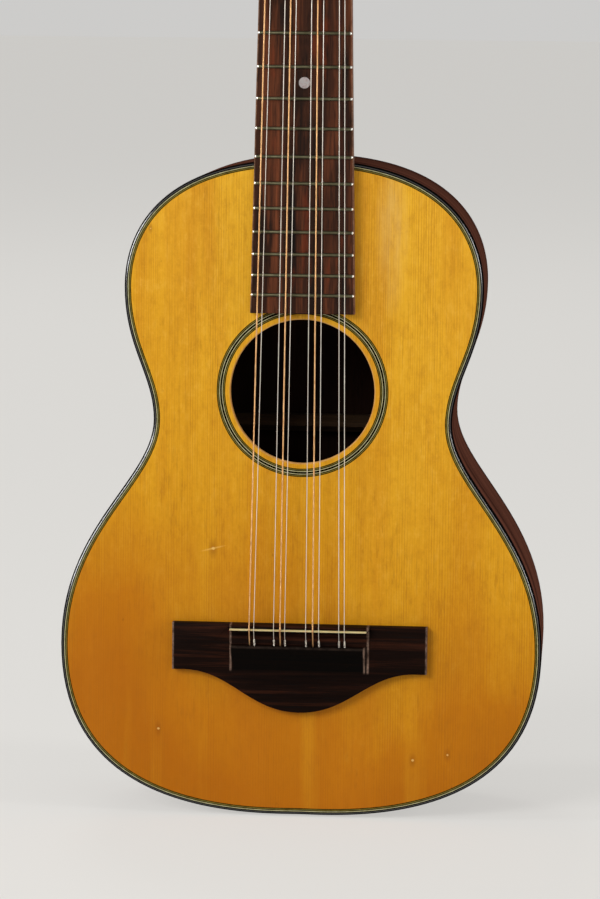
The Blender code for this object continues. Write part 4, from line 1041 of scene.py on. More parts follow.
def make_sides():
    """The two bent rosewood sides, and the strip over their joint at the tail."""
    front = from_front(BINDING_HEIGHT)
    back = from_back(BINDING_HEIGHT)
    section = ((0.0, front), (RIB_THICKNESS, front), (RIB_THICKNESS, back), (0.0, back))
    strip_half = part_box("end_strip")[1].x / MM
    for side_name, side in SIDES:
        paths = [half_path(inset, SEAM, strip_half + SEAM) for inset, rule in section]
        loops = []
        for i in range(len(paths[0])):
            corners = [(path[i], rule) for path, (inset, rule) in zip(paths, section)]
            loops.append([(side * x, rule(z), z) for (x, z), rule in corners])
        shape = loft_shape(loops)
        # The inner face takes rosewood darkened as painted shade
        use_second_surface(shape, lambda face: face.index % len(section) == 1)
        name = f"side_{side_name}"
        piece(f"{name}_panel", shape, "side_rosewood", replaced=[name], second="shaded_inner_rosewood")
    finish_node("end_strip", "binding", END_STRIP_EDGE)


def make_back():
    """The back in two matched halves, with an inlaid strip between them."""
    half = CENTRE_STRIP_WIDTH / 2
    front, back = from_back(BACK_THICKNESS), from_back(0.0)
    path = half_path(BINDING_WIDTH, half, half)
    for side_name, side in SIDES:
        points = [(side * x, z) for x, z in path]
        replaced = ["back"] if side > 0 else ()
        shape = loft_shape(slab_loops(points, front, back))
        # The inner face takes rosewood darkened as painted shade
        use_second_surface(shape, lambda face: face.index == len(points))
        piece(f"back_half_{side_name}", shape, "back_rosewood", replaced=replaced,
              second="shaded_inner_rosewood")
    top_z, tail_z = path[0][1], path[-1][1]
    inner = half - CENTRE_LINE_WIDTH
    for name, low_x, high_x, surface in (
        ("back_line_bass", -half, -inner, "black_line"),
        ("back_line_middle", -inner, inner, "cream_line"),
        ("back_line_treble", inner, half, "black_line"),
    ):
        points = [(low_x, tail_z), (high_x, tail_z), (high_x, top_z), (low_x, top_z)]
        strip = loft_shape(slab_loops(points, front, back))
        use_second_surface(strip, lambda face: face.index == len(points))
        piece(name, strip, surface, second="shaded_inner_rosewood")


def finish_inside():
    """The glued pieces inside the body keep their shape, in bare wood darkened as painted shade."""
    for plate in ("front", "back"):
        for side_name, side in SIDES:
            finish_node(f"lining_{plate}_{side_name}", "shaded_bare_wood")
    for name in ("neck_block", "tail_block", "soundboard_brace_upper", "soundboard_brace_lower",
                 "back_brace_upper", "back_brace_middle", "back_brace_lower", "bridge_plate"):
        finish_node(name, "shaded_bare_wood", INNER_EDGE)


# Bridge


def bridge_outline():
    """(x, z) points round the bridge: straight wings and a curved belly below the middle."""
    half = BRIDGE_SPAN / 2
    wing_end = BRIDGE_FRONT - BRIDGE_WING_LENGTH
    start = Vector((BRIDGE_BELLY_SPAN / 2, wing_end))
    bottom = Vector((0.0, wing_end - BRIDGE_BELLY_DROP))
    pull, push = start - Vector((BELLY_HANDLES[0], 0.0)), bottom + Vector((BELLY_HANDLES[1], 0.0))
    belly = [tuple(point) for point, tangent in bezier(start, pull, push, bottom, BELLY_STEPS)]
    treble = [(half, BRIDGE_FRONT), (half, wing_end)] + belly
    return treble + [tuple(bottom)] + [(-x, z) for x, z in reversed(treble)]


def make_bridge():
    """The bridge: wings and belly, a raised middle with the saddle's slot, a trough and the string block."""
    half = BRIDGE_MIDDLE_SPAN / 2
    foot = -BRIDGE_WING_HEIGHT / 2
    slot_front = SADDLE_Z + SADDLE_THICKNESS / 2
    slot_back = SADDLE_Z - SADDLE_THICKNESS / 2
    face = BRIDGE_FRONT - BRIDGE_EDGE / 8
    middle = (
        (foot, face),
        (-LEDGE_HEIGHT + BRIDGE_EDGE, face),
        (-LEDGE_HEIGHT, BRIDGE_FRONT - BRIDGE_EDGE),
        (-LEDGE_HEIGHT, slot_back),
        (-TROUGH_HEIGHT, slot_back - TROUGH_START),
        (-TROUGH_HEIGHT, BRIDGE_BLOCK_FRONT + BRIDGE_EDGE),
        (foot, BRIDGE_BLOCK_FRONT + BRIDGE_EDGE),
    )
    block = (
        (foot, BRIDGE_BLOCK_FRONT + 2 * BRIDGE_EDGE),
        (-TROUGH_HEIGHT, BRIDGE_BLOCK_FRONT + 1.5 * BRIDGE_EDGE),
        (-BLOCK_HEIGHT + BRIDGE_EDGE, BRIDGE_BLOCK_FRONT),
        (-BLOCK_HEIGHT, BRIDGE_BLOCK_FRONT - 1.5 * BRIDGE_EDGE),
        (-BLOCK_HEIGHT + BRIDGE_EDGE / 4, BRIDGE_BLOCK_FRONT - BLOCK_CREST),
        (foot, BRIDGE_FRONT - BLOCK_END_DROP),
    )
    slot_top = -LEDGE_HEIGHT - SLOT_OVERRUN
    slot = ((slot_top, slot_front), (-SADDLE_SLOT_FLOOR, slot_front), (-SADDLE_SLOT_FLOOR, slot_back),
            (slot_top, slot_back))
    slot_ends = (-half - SLOT_OVERRUN, half + SLOT_OVERRUN)
    block_ends = (-half + BRIDGE_EDGE / 4, half - BLOCK_INSET)
    base = loft_shape(slab_loops(bridge_outline(), from_front(-BRIDGE_WING_HEIGHT), from_front(0.0)))
    made = piece("bridge_wood", base, "bridge_rosewood", replaced=["bridge"])
    carve(made, (bar_shape(middle, (-half, half)), "UNION"), (bar_shape(block, block_ends), "UNION"),
          (bar_shape(slot, slot_ends), "DIFFERENCE"))
    round_edges(made, BRIDGE_EDGE, 3)
    holes = bmesh.new()
    around = [Vector((a, b, 0.0)) for a, b in circle(STRING_HOLE_RADIUS, STRING_HOLE_SIDES)]
    for i in range(len(STRING_AT_SADDLE)):
        mouth, direction = string_mouth(i)
        centres = [mouth + direction * along for along in (-STRING_HOLE_START, STRING_HOLE_DEPTH + GAP)]
        add_loft(holes, [[tuple(centre + spoke) for spoke in around] for centre in centres])
    carve(made, (holes, "DIFFERENCE"))


def make_saddle():
    """The saddle, a thin bone strip with a rounded top."""
    half = BRIDGE_MIDDLE_SPAN / 2
    thick = SADDLE_THICKNESS / 2
    section = [(-SADDLE_SLOT_FLOOR, SADDLE_Z + thick)]
    for i in range(CROWN_STEPS + 1):
        turn = math.pi * i / CROWN_STEPS
        section.append((-SADDLE_HEIGHT + thick * (1.0 - math.sin(turn)), SADDLE_Z + thick * math.cos(turn)))
    section.append((-SADDLE_SLOT_FLOOR, SADDLE_Z - thick))
    ends = (-half + SADDLE_END_INSETS[0], half - SADDLE_END_INSETS[1])
    made = piece("saddle_bone", bar_shape(section, ends), "bone", replaced=["saddle"])
    round_edges(made, SADDLE_EDGE)


# Fingerboard, frets, nut and dots


def fret_z(fret):
    """Height of a fret, below the nut."""
    return -SCALE_LENGTH * (1.0 - 2.0 ** (-fret / 12.0))


def fingerboard_half_width(z):
    """Half the fingerboard's width at a height."""
    return (NUT_WIDTH + (FINGERBOARD_END_WIDTH - NUT_WIDTH) * z / FINGERBOARD_END) / 2


def make_fingerboard():
    """The tapered board with softened edges."""
    loops = []
    for z in (FINGERBOARD_END, 0.0):
        half = fingerboard_half_width(z)
        loops.append([(-half, 0.0, z), (-half, FINGERBOARD_FACE, z), (half, FINGERBOARD_FACE, z),
                      (half, 0.0, z)])
    made = piece("fingerboard_wood", loft_shape(loops), "board_rosewood", replaced=["fingerboard"])
    round_edges(made, BOARD_EDGE)


def make_frets():
    """Eighteen crowned frets with dressed ends, each set in the board."""
    frets = bmesh.new()
    for fret in range(1, FRET_COUNT + 1):
        z = fret_z(fret)
        half = fingerboard_half_width(z)
        loops = []
        for x, share in fret_stations(half - FRET_INSET):
            wide = FRET_WIDTH / 2 * share
            section = [(FRET_ROOT, -wide)]
            for i in range(CROWN_STEPS + 1):
                turn = math.pi * i / CROWN_STEPS
                section.append((-FRET_HEIGHT * share * math.sin(turn), -wide * math.cos(turn)))
            section.append((FRET_ROOT, wide))
            loops.append([(x, FINGERBOARD_FACE + y, z + dz) for y, dz in section])
        add_loft(frets, loops)
    # The ends take a bright copy of the fret metal as painted glints; the rest is darkened as painted shade
    use_second_surface(frets, on_fret_tip)
    piece("frets", frets, "shaded_fret_wire", angle=FRET_ANGLE, second="glinting_fret_tip")


def on_fret_tip(face):
    """Whether a face belongs to a fret's end, which takes the bright copy of the metal as a painted glint."""
    centre = face.calc_center_median()
    return abs(centre.x) > fingerboard_half_width(centre.z) - FRET_BEVEL


def fret_stations(tip):
    """(x, share of full size) along a fret: rounded ends and a straight middle."""
    left = [(-tip + inward, share) for inward, share in FRET_ENDS]
    return left + [(-x, share) for x, share in reversed(left)]


def make_dots():
    """Pearl dots, flush with the board."""
    for fret in DOT_FRETS:
        z = (fret_z(fret) + fret_z(fret - 1)) / 2
        rim = ((DOT_RADIUS, FINGERBOARD_FACE + DOT_DEPTH), (DOT_RADIUS, FINGERBOARD_FACE),
               (DOT_RADIUS - DOT_ROUND[0], FINGERBOARD_FACE - DOT_ROUND[1]))
        loops = [[(x, y, z + dz) for x, dz in circle(radius, DOT_SIDES)] for radius, y in rim]
        replaced = ["dot_10"] if fret == 10 else ()
        piece(f"pearl_dot_{fret}", loft_shape(loops), "pearl", replaced=replaced)


# Neck and headstock


def headstock_axes():
    """The headstock's frame: x across, u up its face, and -v out of its face."""
    s, c = math.sin(HEADSTOCK_TILT), math.cos(HEADSTOCK_TILT)
    origin = Vector((0.0, HEADSTOCK_FACE_Y, HEADSTOCK_FACE_Z))
    return Vector((1.0, 0.0, 0.0)), Vector((0.0, s, c)), Vector((0.0, c, -s)), origin


def on_headstock(x, u, v):
    """A point of the headstock's frame, in the instrument's frame."""
    across, up_face, into_face, origin = headstock_axes()
    return tuple(origin + across * x + up_face * u + into_face * v)


def headstock_half_width(u):
    """Half the headstock's width at a height up its face."""
    widening = (HEADSTOCK_SHOULDER_WIDTH - NUT_WIDTH) / 2
    if u < SHOULDER_LENGTH:
        share = max(0.0, u / SHOULDER_LENGTH) ** SHOULDER_POWER
        return NUT_WIDTH / 2 + widening * math.sin(math.pi / 2 * share) ** 2
    up = (u - SHOULDER_LENGTH) / (HEADSTOCK_LENGTH - SHOULDER_LENGTH)
    half = HEADSTOCK_SHOULDER_WIDTH / 2 + (HEADSTOCK_TOP_WIDTH - HEADSTOCK_SHOULDER_WIDTH) / 2 * up
    drop = HEADSTOCK_LENGTH - u
    if drop < HEADSTOCK_CORNER:
        half -= HEADSTOCK_CORNER - math.sqrt(HEADSTOCK_CORNER**2 - (HEADSTOCK_CORNER - drop) ** 2)
    return half


def headstock_heights():
    """Heights up the headstock, close together at the shoulders and the top corners."""
    heights = [SHOULDER_LENGTH * (i + 1) / SHOULDER_STEPS for i in range(SHOULDER_STEPS)]
    above_shoulder, below_top = HEADSTOCK_STRAIGHT_INSETS
    heights += [SHOULDER_LENGTH + above_shoulder, HEADSTOCK_LENGTH - below_top]
    turns = [math.pi / 2 * i / CORNER_STEPS for i in range(CORNER_STEPS + 1)]
    return heights + [HEADSTOCK_LENGTH - HEADSTOCK_CORNER * math.cos(turn) for turn in turns]


def round_section(half, tall, narrowing, power):
    """(x, depth) points of a neck section: a flat face, and a back that bends from edge to edge."""
    points = [(-half, 0.0), (half, 0.0)]
    for i in range(1, NECK_SIDES):
        t = math.pi * i / NECK_SIDES
        across = math.copysign(abs(math.cos(t)) ** power, math.cos(t))
        points.append((half * across * (1.0 - narrowing * math.sin(t)), tall * math.sin(t) ** power))
    return points


def heel_loops():
    """Loops from inside the body up to the top of the heel."""
    loops = []
    for i in range(HEEL_STEPS + 1):
        share = HEEL_REACH * (1.0 - i / HEEL_STEPS)
        z = BODY_TOP + HEEL_LENGTH * (1.0 - share)
        tall = NECK_DEPTH_AT_HEEL + HEEL_RISE * share**HEEL_CURVE
        section = round_section(fingerboard_half_width(z), tall, HEEL_NARROWING * share, NECK_SQUARENESS)
        loops.append([(x, y, z) for x, y in section])
    return loops


def neck_loops():
    """Loops up the heel, the shaft and the headstock."""
    loops = heel_loops()
    heel_top = BODY_TOP + HEEL_LENGTH
    shaft_end = NUT_THICKNESS - SHAFT_END_DROP
    for i in range(1, SHAFT_STEPS + 1):
        z = heel_top + (shaft_end - heel_top) * i / SHAFT_STEPS
        tall = NECK_DEPTH_AT_HEEL + (NECK_DEPTH_AT_NUT - NECK_DEPTH_AT_HEEL) * i / SHAFT_STEPS
        half = fingerboard_half_width(min(z, 0.0))
        loops.append([(x, y, z) for x, y in round_section(half, tall, 0.0, NECK_SQUARENESS)])
    rounder, squarer = HEADSTOCK_SQUARENESS
    for u in headstock_heights():
        squaring = min(1.0, max(0.0, (u - SQUARING_START) / SQUARING_LENGTH))
        power = rounder + (squarer - rounder) * math.sin(math.pi / 2 * squaring)
        section = round_section(headstock_half_width(u), HEADSTOCK_THICKNESS, 0.0, power)
        loops.append([on_headstock(x, u, WOOD_FRONT + v) for x, v in section])
    return loops


def post_places():
    """(side name, number, side, u) of every post, each side from the nut upward."""
    return [(side_name, i + 1, side, FIRST_POST_U + TUNER_PITCH * i)
            for side_name, side in SIDES for i in range(TUNERS_A_SIDE)]


def post_bores(front, back):
    """A bmesh of a bore for every post."""
    bores = bmesh.new()
    around = circle(POST_RADIUS + GAP, POST_BORE_SIDES)
    for side_name, number, side, u in post_places():
        add_loft(bores, [[on_headstock(side * POST_X + a, u + b, v) for a, b in around]
                         for v in (front, back)])
    return bores


def make_neck():
    """The neck with its heel and headstock in one piece of wood, and the cap under the heel."""
    neck = piece("neck_wood", loft_shape(neck_loops()), "mahogany", replaced=["neck"])
    body_loops = slab_loops(outline(), from_front(-HEEL_LENGTH), from_back(-HEEL_LENGTH))
    low, high = BODY_TOP - HEEL_LENGTH, BODY_TOP + HEEL_LENGTH
    around = [(-NUT_WIDTH, low), (NUT_WIDTH, low), (NUT_WIDTH, high), (-NUT_WIDTH, high)]
    past_cap = slab_loops(around, from_back(HEEL_CAP_THICKNESS), from_back(-HEEL_RISE))
    carve(neck, (loft_shape(body_loops), "DIFFERENCE"), (loft_shape(past_cap), "DIFFERENCE"),
          (post_bores(WOOD_FRONT - POST_RADIUS, WOOD_BACK + POST_RADIUS), "DIFFERENCE"))
    cap = piece("heel_cap_plate", loft_shape(heel_loops()), "binding", replaced=["heel_cap"])
    layer = slab_loops(around, from_back(HEEL_CAP_THICKNESS), from_back(0.0))
    carve(cap, (loft_shape(layer), "INTERSECT"), (loft_shape(body_loops), "DIFFERENCE"))
    round_edges(cap, HEEL_CAP_EDGE)


def make_headplate():
    """The veneer on the headstock's face, with a bore for every post."""
    right = [(headstock_half_width(u), u) for u in [0.0] + headstock_heights()]
    around = right + [(-x, u) for x, u in reversed(right)]
    loops = [[on_headstock(x, u, v) for x, u in around] for v in (0.0, VENEER_THICKNESS + GAP)]
    plate = piece("headstock_veneer", loft_shape(loops), "back_rosewood", replaced=["headplate"])
    carve(plate, (post_bores(-POST_RADIUS, VENEER_THICKNESS + POST_RADIUS), "DIFFERENCE"))
    round_edges(plate, VENEER_EDGE)


# Tuning machines


def tuner_matrix(x, u, v, flip=False):
    """Places a shape drawn with x across, y up the face and z out of the face."""
    across, up_face, into_face, origin = headstock_axes()
    turn = Matrix((across, up_face, -into_face)).transposed().to_4x4()
    half_turn = Matrix.Rotation(math.pi if flip else 0.0, 4, "Y")
    return Matrix.Translation(Vector(on_headstock(x, u, v))) @ turn @ half_turn


def turned_loops(profile, sides, axis):
    """Loops of a turned solid from (radius, place on the axis) points, along x or z."""
    if axis == "z":
        return [[(a, b, along) for a, b in circle(radius, sides)] for radius, along in profile]
    return [[(along, a, b) for a, b in circle(radius, sides)] for radius, along in profile]


def gear_loops():
    """The post's gear: slanted teeth with softened tips, and a space facing the worm."""
    pitch_angle = 2.0 * math.pi / GEAR_TEETH
    slant = WORM_LEAD / (2.0 * math.pi * WORM_PITCH_RADIUS) / GEAR_PITCH_RADIUS
    spread_by = math.tan(FLANK_ANGLE)
    levels = (
        (GEAR_PITCH_RADIUS - GEAR_DEDENDUM, GEAR_TOOTH + 2 * GEAR_DEDENDUM * spread_by),
        (GEAR_PITCH_RADIUS + GEAR_TIP_START * GEAR_ADDENDUM,
         GEAR_TOOTH - 2 * GEAR_TIP_START * GEAR_ADDENDUM * spread_by),
        (GEAR_PITCH_RADIUS + GEAR_ADDENDUM, GEAR_TIP_WIDTH * (GEAR_TOOTH - 2 * GEAR_ADDENDUM * spread_by)),
    )
    loops = []
    for z in (-GEAR_WIDTH / 2, GEAR_WIDTH / 2):
        loop = []
        for tooth in range(GEAR_TEETH):
            middle = math.pi / 2 + pitch_angle * (tooth + 0.5) + slant * z
            for (radius, thick), sign in zip(levels + levels[::-1], (-1, -1, -1, 1, 1, 1)):
                angle = middle + sign * thick / 2 / radius
                loop.append((radius * math.cos(angle), radius * math.sin(angle), z))
        loops.append(loop)
    return loops


def post_profile():
    """(radius, height) points of the post, measured from the gear's middle out of the face."""
    face = GEAR_MIDDLE
    collar = GEAR_MIDDLE - PLATE_BACK - GAP
    bend_out, bend_up = POST_WAIST_BEND
    tip = [(POST_RADIUS - inset, face + POST_HEIGHT - drop) for inset, drop in POST_TIP]
    return (
        (POST_COLLAR_RADIUS, -GEAR_WIDTH / 6),
        (POST_COLLAR_RADIUS, collar),
        (POST_RADIUS, collar),
        (POST_RADIUS, face + POST_FOOT_HEIGHT),
        (POST_WAIST_RADIUS + bend_out, face + POST_WAIST_START - bend_up),
        (POST_WAIST_RADIUS, face + POST_WAIST_START),
        (POST_WAIST_RADIUS, face + POST_WAIST_END),
        (POST_WAIST_RADIUS + bend_out, face + POST_WAIST_END + bend_up),
        (POST_RADIUS, face + POST_HEAD_START),
        *tip,
    )


def make_screw(name, body, matrix, radius, height, turn):
    """A slotted, domed screw head standing on its matrix's z = 0."""
    profile = [(radius, -SCREW_SINK), (radius, SCREW_RIM * height)]
    for i in range(1, SCREW_STEPS):
        rise = math.pi / 2 * i / SCREW_STEPS
        profile.append((radius * math.cos(rise), height * (SCREW_RIM + (1.0 - SCREW_RIM) * math.sin(rise))))
    wide = SCREW_SLOT_SHARE * radius
    low, high = SCREW_SLOT_FLOOR * height, 2.0 * height
    slot = ((-wide, low), (wide, low), (wide, high), (-wide, high))
    head = loft_shape(turned_loops(profile, SCREW_SIDES, "z"))
    groove = bar_shape(slot, (-2.0 * radius, 2.0 * radius))
    spin = matrix @ Matrix.Rotation(turn, 4, "Z")
    for shape in (head, groove):
        bmesh.ops.transform(shape, matrix=spin, verts=shape.verts)
    carve(piece(name, head, "nickel", body), (groove, "DIFFERENCE"))


def worm_loops():
    """The worm's thread: a ridge with tapered ends that runs in a right-hand helix along x."""
    root, low_crest = KNOB_SHAFT_RADIUS - GAP, KNOB_SHAFT_RADIUS + GAP
    spread_by = math.tan(FLANK_ANGLE)
    turns = WORM_LENGTH / WORM_LEAD
    steps = round(turns * WORM_STEPS)
    facing = math.pi
    loops = []
    for i in range(steps + 1):
        share = i / steps - 0.5
        angle = 2.0 * math.pi * turns * share + facing
        fade = min(1.0, (0.5 - abs(share)) * turns / WORM_FADE_TURNS)
        crest = low_crest + (WORM_OUTER_RADIUS - low_crest) * fade
        loop = []
        for radius, sign in ((root, -1), (crest, -1), (crest, 1), (root, 1)):
            half = WORM_TOOTH / 2 + (WORM_PITCH_RADIUS - radius) * spread_by
            x = WORM_LENGTH * share + sign * half
            loop.append((x, radius * math.cos(angle), radius * math.sin(angle)))
        loops.append(loop)
    return loops


def shaft_loops():
    """The knob's shaft, from past the inner lug to inside the button."""
    lug = WORM_LENGTH / 2 + WORM_END_PLAY + LUG_THICKNESS
    inner_end = -lug - KNOB_SHAFT_PAST_LUG
    profile = (
        (KNOB_SHAFT_RADIUS - KNOB_SHAFT_BEVEL, inner_end),
        (KNOB_SHAFT_RADIUS, inner_end + KNOB_SHAFT_BEVEL),
        (KNOB_SHAFT_RADIUS, BUTTON_START + KNOB_SHAFT_RADIUS),
    )
    return turned_loops(profile, TURNED_SIDES, "x")


def button_loops():
    """The oval button: a short collar that swells into a flattened oval."""
    loops = []
    for x, height_share, thickness_share in BUTTON_STATIONS:
        tall = height_share * BUTTON_HEIGHT / 2
        deep = thickness_share * BUTTON_THICKNESS / 2
        loops.append([(BUTTON_START + x, tall * a, deep * b) for a, b in circle(1.0, BUTTON_SIDES)])
    return loops


def placed(loops, matrix):
    """Loops moved by a matrix."""
    return [[tuple(matrix @ Vector(point)) for point in loop] for loop in loops]


def make_post(label, side, u, slot_turn):
    """A string post with its bore, its gear and the gear's screw."""
    body = f"post_{label}"
    place = tuner_matrix(side * POST_X, u, GEAR_MIDDLE)
    post = loft_shape(placed(turned_loops(post_profile(), TURNED_SIDES, "z"), place))
    bore_ends = [(STRING_BORE_RADIUS, end * STRING_BORE_REACH) for end in (-1, 1)]
    height = GEAR_MIDDLE + (POST_WAIST_START + POST_WAIST_END) / 2 + STRING_BORE_RISE
    turn = Matrix.Rotation(STRING_BORE_TURN, 4, "Z")
    bore_place = place @ Matrix.Translation((0.0, 0.0, height)) @ turn
    bore = loft_shape(placed(turned_loops(bore_ends, STRING_HOLE_SIDES, "x"), bore_place))
    carve(piece(f"tuner_post_{label}", post, "nickel", body, [body]), (bore, "DIFFERENCE"))
    gear = piece(f"tuner_gear_{label}", loft_shape(placed(gear_loops(), place)), "nickel", body)
    round_edges(gear, GEAR_EDGE, 1, GEAR_ANGLE)
    under = place @ Matrix.Translation((0.0, 0.0, -GEAR_WIDTH / 2)) @ UPSIDE_DOWN
    make_screw(f"gear_screw_{label}", body, under, GEAR_SCREW_RADIUS, GEAR_SCREW_HEIGHT, slot_turn)


def make_knob(label, side, u):
    """A knob's shaft with its worm, and the button on its end."""
    body = f"knob_{label}"
    place = tuner_matrix(side * POST_X, u + WORM_OFFSET, GEAR_MIDDLE, flip=side < 0)
    shaft = loft_shape(placed(shaft_loops(), place))
    add_loft(shaft, placed(worm_loops(), place))
    piece(f"tuner_worm_{label}", shaft, "nickel", body, [body])
    button = loft_shape(placed(button_loops(), place))
    made = piece(f"tuner_button_{label}", button, "ivory", body, [body], angle=BUTTON_ANGLE)
    smoother = made.modifiers.new("smoother", "SUBSURF")
    smoother.levels = smoother.render_levels = BUTTON_SMOOTHING


def make_bushing(label, side, u):
    """The bushing round a post, on the headstock's face."""
    place = tuner_matrix(side * POST_X, u, 0.0)
    loops = placed(turned_loops(BUSHING_PROFILE, TURNED_SIDES, "z"), place)
    piece(f"post_bushing_{label}", loft_shape(loops, ring=True), "nickel")


def make_tuners():
    """A post, a knob and a bushing for each string, and the two plates with their screws."""
    for side_name, number, side, u in post_places():
        label = f"{side_name}_{number}"
        make_post(label, side, u, GEAR_SCREW_TURN * number + side)
        make_knob(label, side, u)
        make_bushing(label, side, u)
    for side_name, side in SIDES:
        finish_node(f"tuner_plate_{side_name}", "nickel", PLATE_EDGE)
        for i in range(TUNERS_A_SIDE - 1):
            u = FIRST_POST_U + TUNER_PITCH * i + WORM_OFFSET + PLATE_SCREW_RISE
            back = tuner_matrix(side * POST_X, u, PLATE_BACK) @ UPSIDE_DOWN
            make_screw(f"plate_screw_{side_name}_{i + 1}", "body", back, PLATE_SCREW_RADIUS,
                       PLATE_SCREW_HEIGHT, PLATE_SCREW_TURN * i + side)


# Strings


def string_radius(i):
    """Half the thickness of a string."""
    return WOUND_RADIUS if i in WOUND_STRINGS else PLAIN_RADIUS


def saddle_top(i):
    """Where a string's middle crosses the saddle."""
    return Vector((STRING_AT_SADDLE[i], -SADDLE_HEIGHT - string_radius(i), SADDLE_Z))


def string_mouth(i):
    """The mouth of a string's hole in the bridge block, and the hole's direction."""
    mouth = Vector((STRING_AT_SADDLE[i], -STRING_HOLE_HEIGHT, BRIDGE_BLOCK_FRONT))
    return mouth, (mouth - saddle_top(i)).normalized()


def string_path(i):
    """A string's middle line: bridge hole, saddle, nut slot, then round its post."""
    radius = string_radius(i)
    saddle = saddle_top(i)
    mouth, direction = string_mouth(i)
    x_nut = STRING_NUT_SHARES[i] * NUT_WIDTH / 2
    nut_front = Vector((x_nut, -NUT_STRING_HEIGHT, -GAP))
    nut_back = Vector((x_nut, -NUT_STRING_HEIGHT, NUT_THICKNESS - GAP))
    towards_nut = (nut_front - saddle).normalized()
    points = [mouth + direction * (STRING_HOLE_DEPTH - GAP), mouth, saddle + direction * SADDLE_BEND,
              saddle + Vector((0.0, -SADDLE_LIFT, 0.0)), saddle + towards_nut * SADDLE_BEND,
              nut_front, nut_back]
    side = -1 if i < TUNERS_A_SIDE else 1
    rank = i if side < 0 else 2 * TUNERS_A_SIDE - 1 - i
    post_x = side * POST_X
    post_u = FIRST_POST_U + TUNER_PITCH * rank
    around = POST_WAIST_RADIUS + GAP / 3 + radius
    leave = Vector((x_nut - post_x, -post_u))
    start = math.atan2(leave.y, leave.x) - side * math.acos(around / leave.length)
    pitch = 2 * radius + TURN_GAP
    first_v = -POST_WAIST_START - 2 * GAP - radius
    for k in range(round(STRING_TURNS * TURN_STEPS) + 1):
        angle = start - side * 2.0 * math.pi * k / TURN_STEPS
        x = post_x + around * math.cos(angle)
        u = post_u + around * math.sin(angle)
        points.append(Vector(on_headstock(x, u, first_v - pitch * k / TURN_STEPS)))
    return points


def tube(name, points, radius, surface, replaced=()):
    """A round wire along points in millimetres."""
    curve = bpy.data.curves.new(name, "CURVE")
    curve.dimensions = "3D"
    curve.bevel_depth = radius * MM
    curve.bevel_resolution = WIRE_BEVEL_STEPS
    curve.use_fill_caps = True
    line = curve.splines.new("POLY")
    line.points.add(len(points) - 1)
    for spot, point in zip(line.points, points):
        spot.co = (*(Vector(point) * MM), 1.0)
    line.use_smooth = True
    return dress(add_object(name, curve), surface, "body", replaced)


def twist_points(i):
    """A wire's end twisted round its own string, just in front of the bridge block."""
    mouth, direction = string_mouth(i)
    across = Vector((1.0, 0.0, 0.0))
    beside = direction.cross(across).normalized()
    points = []
    for k in range(TWIST_TURNS * TWIST_STEPS + 1):
        share = k / (TWIST_TURNS * TWIST_STEPS)
        angle = 2.0 * math.pi * TWIST_TURNS * share
        spoke = (across * math.cos(angle) + beside * math.sin(angle)) * 2.0 * PLAIN_RADIUS
        points.append(mouth - direction * TWIST_LENGTH * (1.0 - share) + spoke)
    return points


def make_strings():
    """Three wound and seven plain strings, from bass to treble."""
    for i in range(len(STRING_NUT_SHARES)):
        name = f"string_{i + 1}"
        surface = "bronze" if i in WOUND_STRINGS else "string_steel"
        tube(f"{name}_wire", string_path(i), string_radius(i), surface, [name])
        if i not in WOUND_STRINGS:
            tube(f"{name}_twist", twist_points(i), PLAIN_RADIUS, surface)


# Room, lights and camera


def seen_rays(tree):
    """1 for rays from the camera, a reflection or glass, and 0 for the rays that light things."""
    rays = node(tree, "ShaderNodeLightPath").outputs
    return maths(tree, "MAXIMUM", rays["Is Camera Ray"], rays["Is Glossy Ray"], rays["Is Transmission Ray"])


def make_room():
    """A pale floor under the tail, and a pale world."""
    mesh = bpy.data.meshes.new("floor")
    height = BODY_BOTTOM * MM - FLOOR_GAP
    corners = [(x * FLOOR_REACH, y * FLOOR_REACH, height) for x, y in ((-1, -1), (1, -1), (1, 1), (-1, 1))]
    mesh.from_pydata(corners, [], [(0, 1, 2, 3)])
    floor = add_object("floor", mesh)
    made, tree, shader = new_surface("pale_floor", Base_Color=srgb(214, 212, 208), Roughness=0.9,
                                     Specular_IOR_Level=0.1)
    glow = node(tree, "ShaderNodeEmission", {"Color": srgb(240, 238, 234)})
    pale = maths(tree, "MULTIPLY", seen_rays(tree), FLOOR_GLOW)
    mixed = node(tree, "ShaderNodeMixShader", {0: pale, 1: shader.outputs[0], 2: glow.outputs[0]})
    tree.links.new(mixed.outputs[0], tree.nodes["Material Output"].inputs["Surface"])
    mesh.materials.append(made)
    world = bpy.data.worlds.new("pale_world")
    world.use_nodes = True
    background = world.node_tree.nodes["Background"]
    background.inputs["Color"].default_value = srgb(246, 245, 243)
    strength = spread(world.node_tree, seen_rays(world.node_tree), 0.0, 1.0, WORLD_LIGHT, WORLD_SEEN)
    world.node_tree.links.new(strength, background.inputs["Strength"])
    bpy.context.scene.world = world


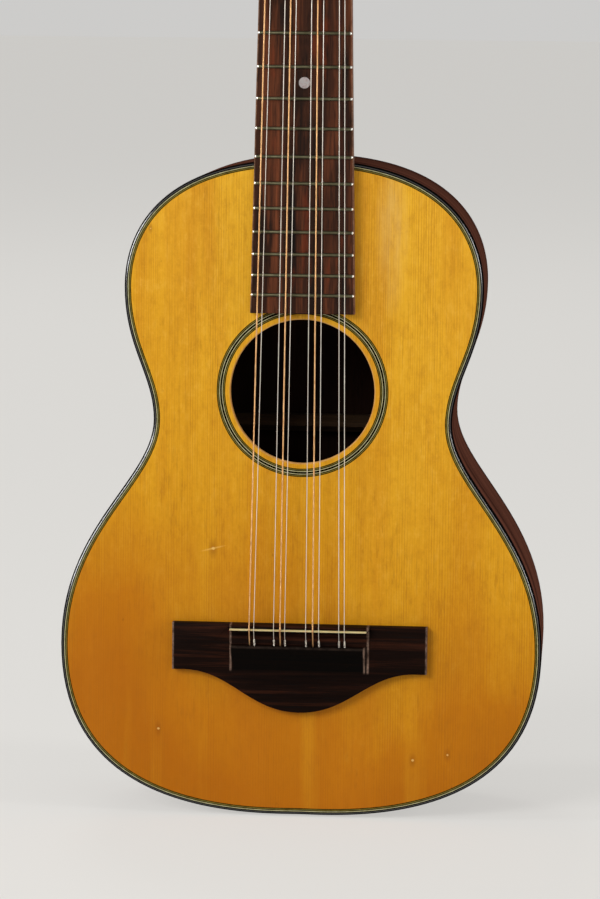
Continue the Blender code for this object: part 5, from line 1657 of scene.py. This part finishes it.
def make_lights():
    """The rectangular lights, turned towards the instrument, and a soft light behind it."""
    for name, place, size, power in AREA_LIGHTS:
        lamp = bpy.data.lights.new(name, "AREA")
        lamp.shape = "RECTANGLE"
        lamp.size, lamp.size_y = size
        lamp.energy = power
        made = add_object(name, lamp)
        made.location = place
        made.rotation_mode = "QUATERNION"
        made.rotation_quaternion = (LIGHT_TARGET - Vector(place)).to_track_quat("-Z", "Y")
        made.visible_camera = False
    lamp = bpy.data.lights.new("behind", "POINT")
    lamp.energy = BEHIND_POWER
    lamp.shadow_soft_size = BEHIND_RADIUS
    made = add_object("behind", lamp)
    made.location = BEHIND_PLACE
    made.visible_camera = False


def make_camera():
    """The photograph's camera."""
    lens = bpy.data.cameras.new("camera")
    made = add_object("camera", lens)
    right = Vector((math.cos(CAMERA_YAW), math.sin(CAMERA_YAW), 0.0))
    forward = Vector((-math.sin(CAMERA_YAW) * math.cos(CAMERA_PITCH),
                      math.cos(CAMERA_YAW) * math.cos(CAMERA_PITCH), math.sin(CAMERA_PITCH)))
    up = right.cross(forward)
    rolled_right = right * math.cos(CAMERA_ROLL) + up * math.sin(CAMERA_ROLL)
    rolled_up = up * math.cos(CAMERA_ROLL) - right * math.sin(CAMERA_ROLL)
    turn = Matrix((rolled_right, rolled_up, -forward)).transposed().to_4x4()
    made.matrix_world = Matrix.Translation(CAMERA_PLACE * MM) @ turn
    width, height = PICTURE_PX
    long_side = max(PICTURE_PX)
    lens.sensor_width = SENSOR_WIDTH
    lens.lens = SENSOR_WIDTH * FOCAL_LENGTH_PX / long_side
    lens.shift_x = (width / 2 - AXIS_PX[0]) / long_side
    lens.shift_y = (AXIS_PX[1] - height / 2) / long_side
    lens.clip_start = CLIP_START
    lens.clip_end = CLIP_END
    bpy.context.scene.camera = made


make_camera()
make_room()
make_lights()
make_soundboard()
make_rosette()
make_purfling()
make_bindings()
make_sides()
make_back()
finish_inside()
make_bridge()
make_saddle()
make_fingerboard()
make_frets()
make_dots()
finish_node("nut", "bone", NUT_EDGE)
make_neck()
make_headplate()
make_tuners()
make_strings()
bpy.context.scene.view_settings.view_transform = "Standard"
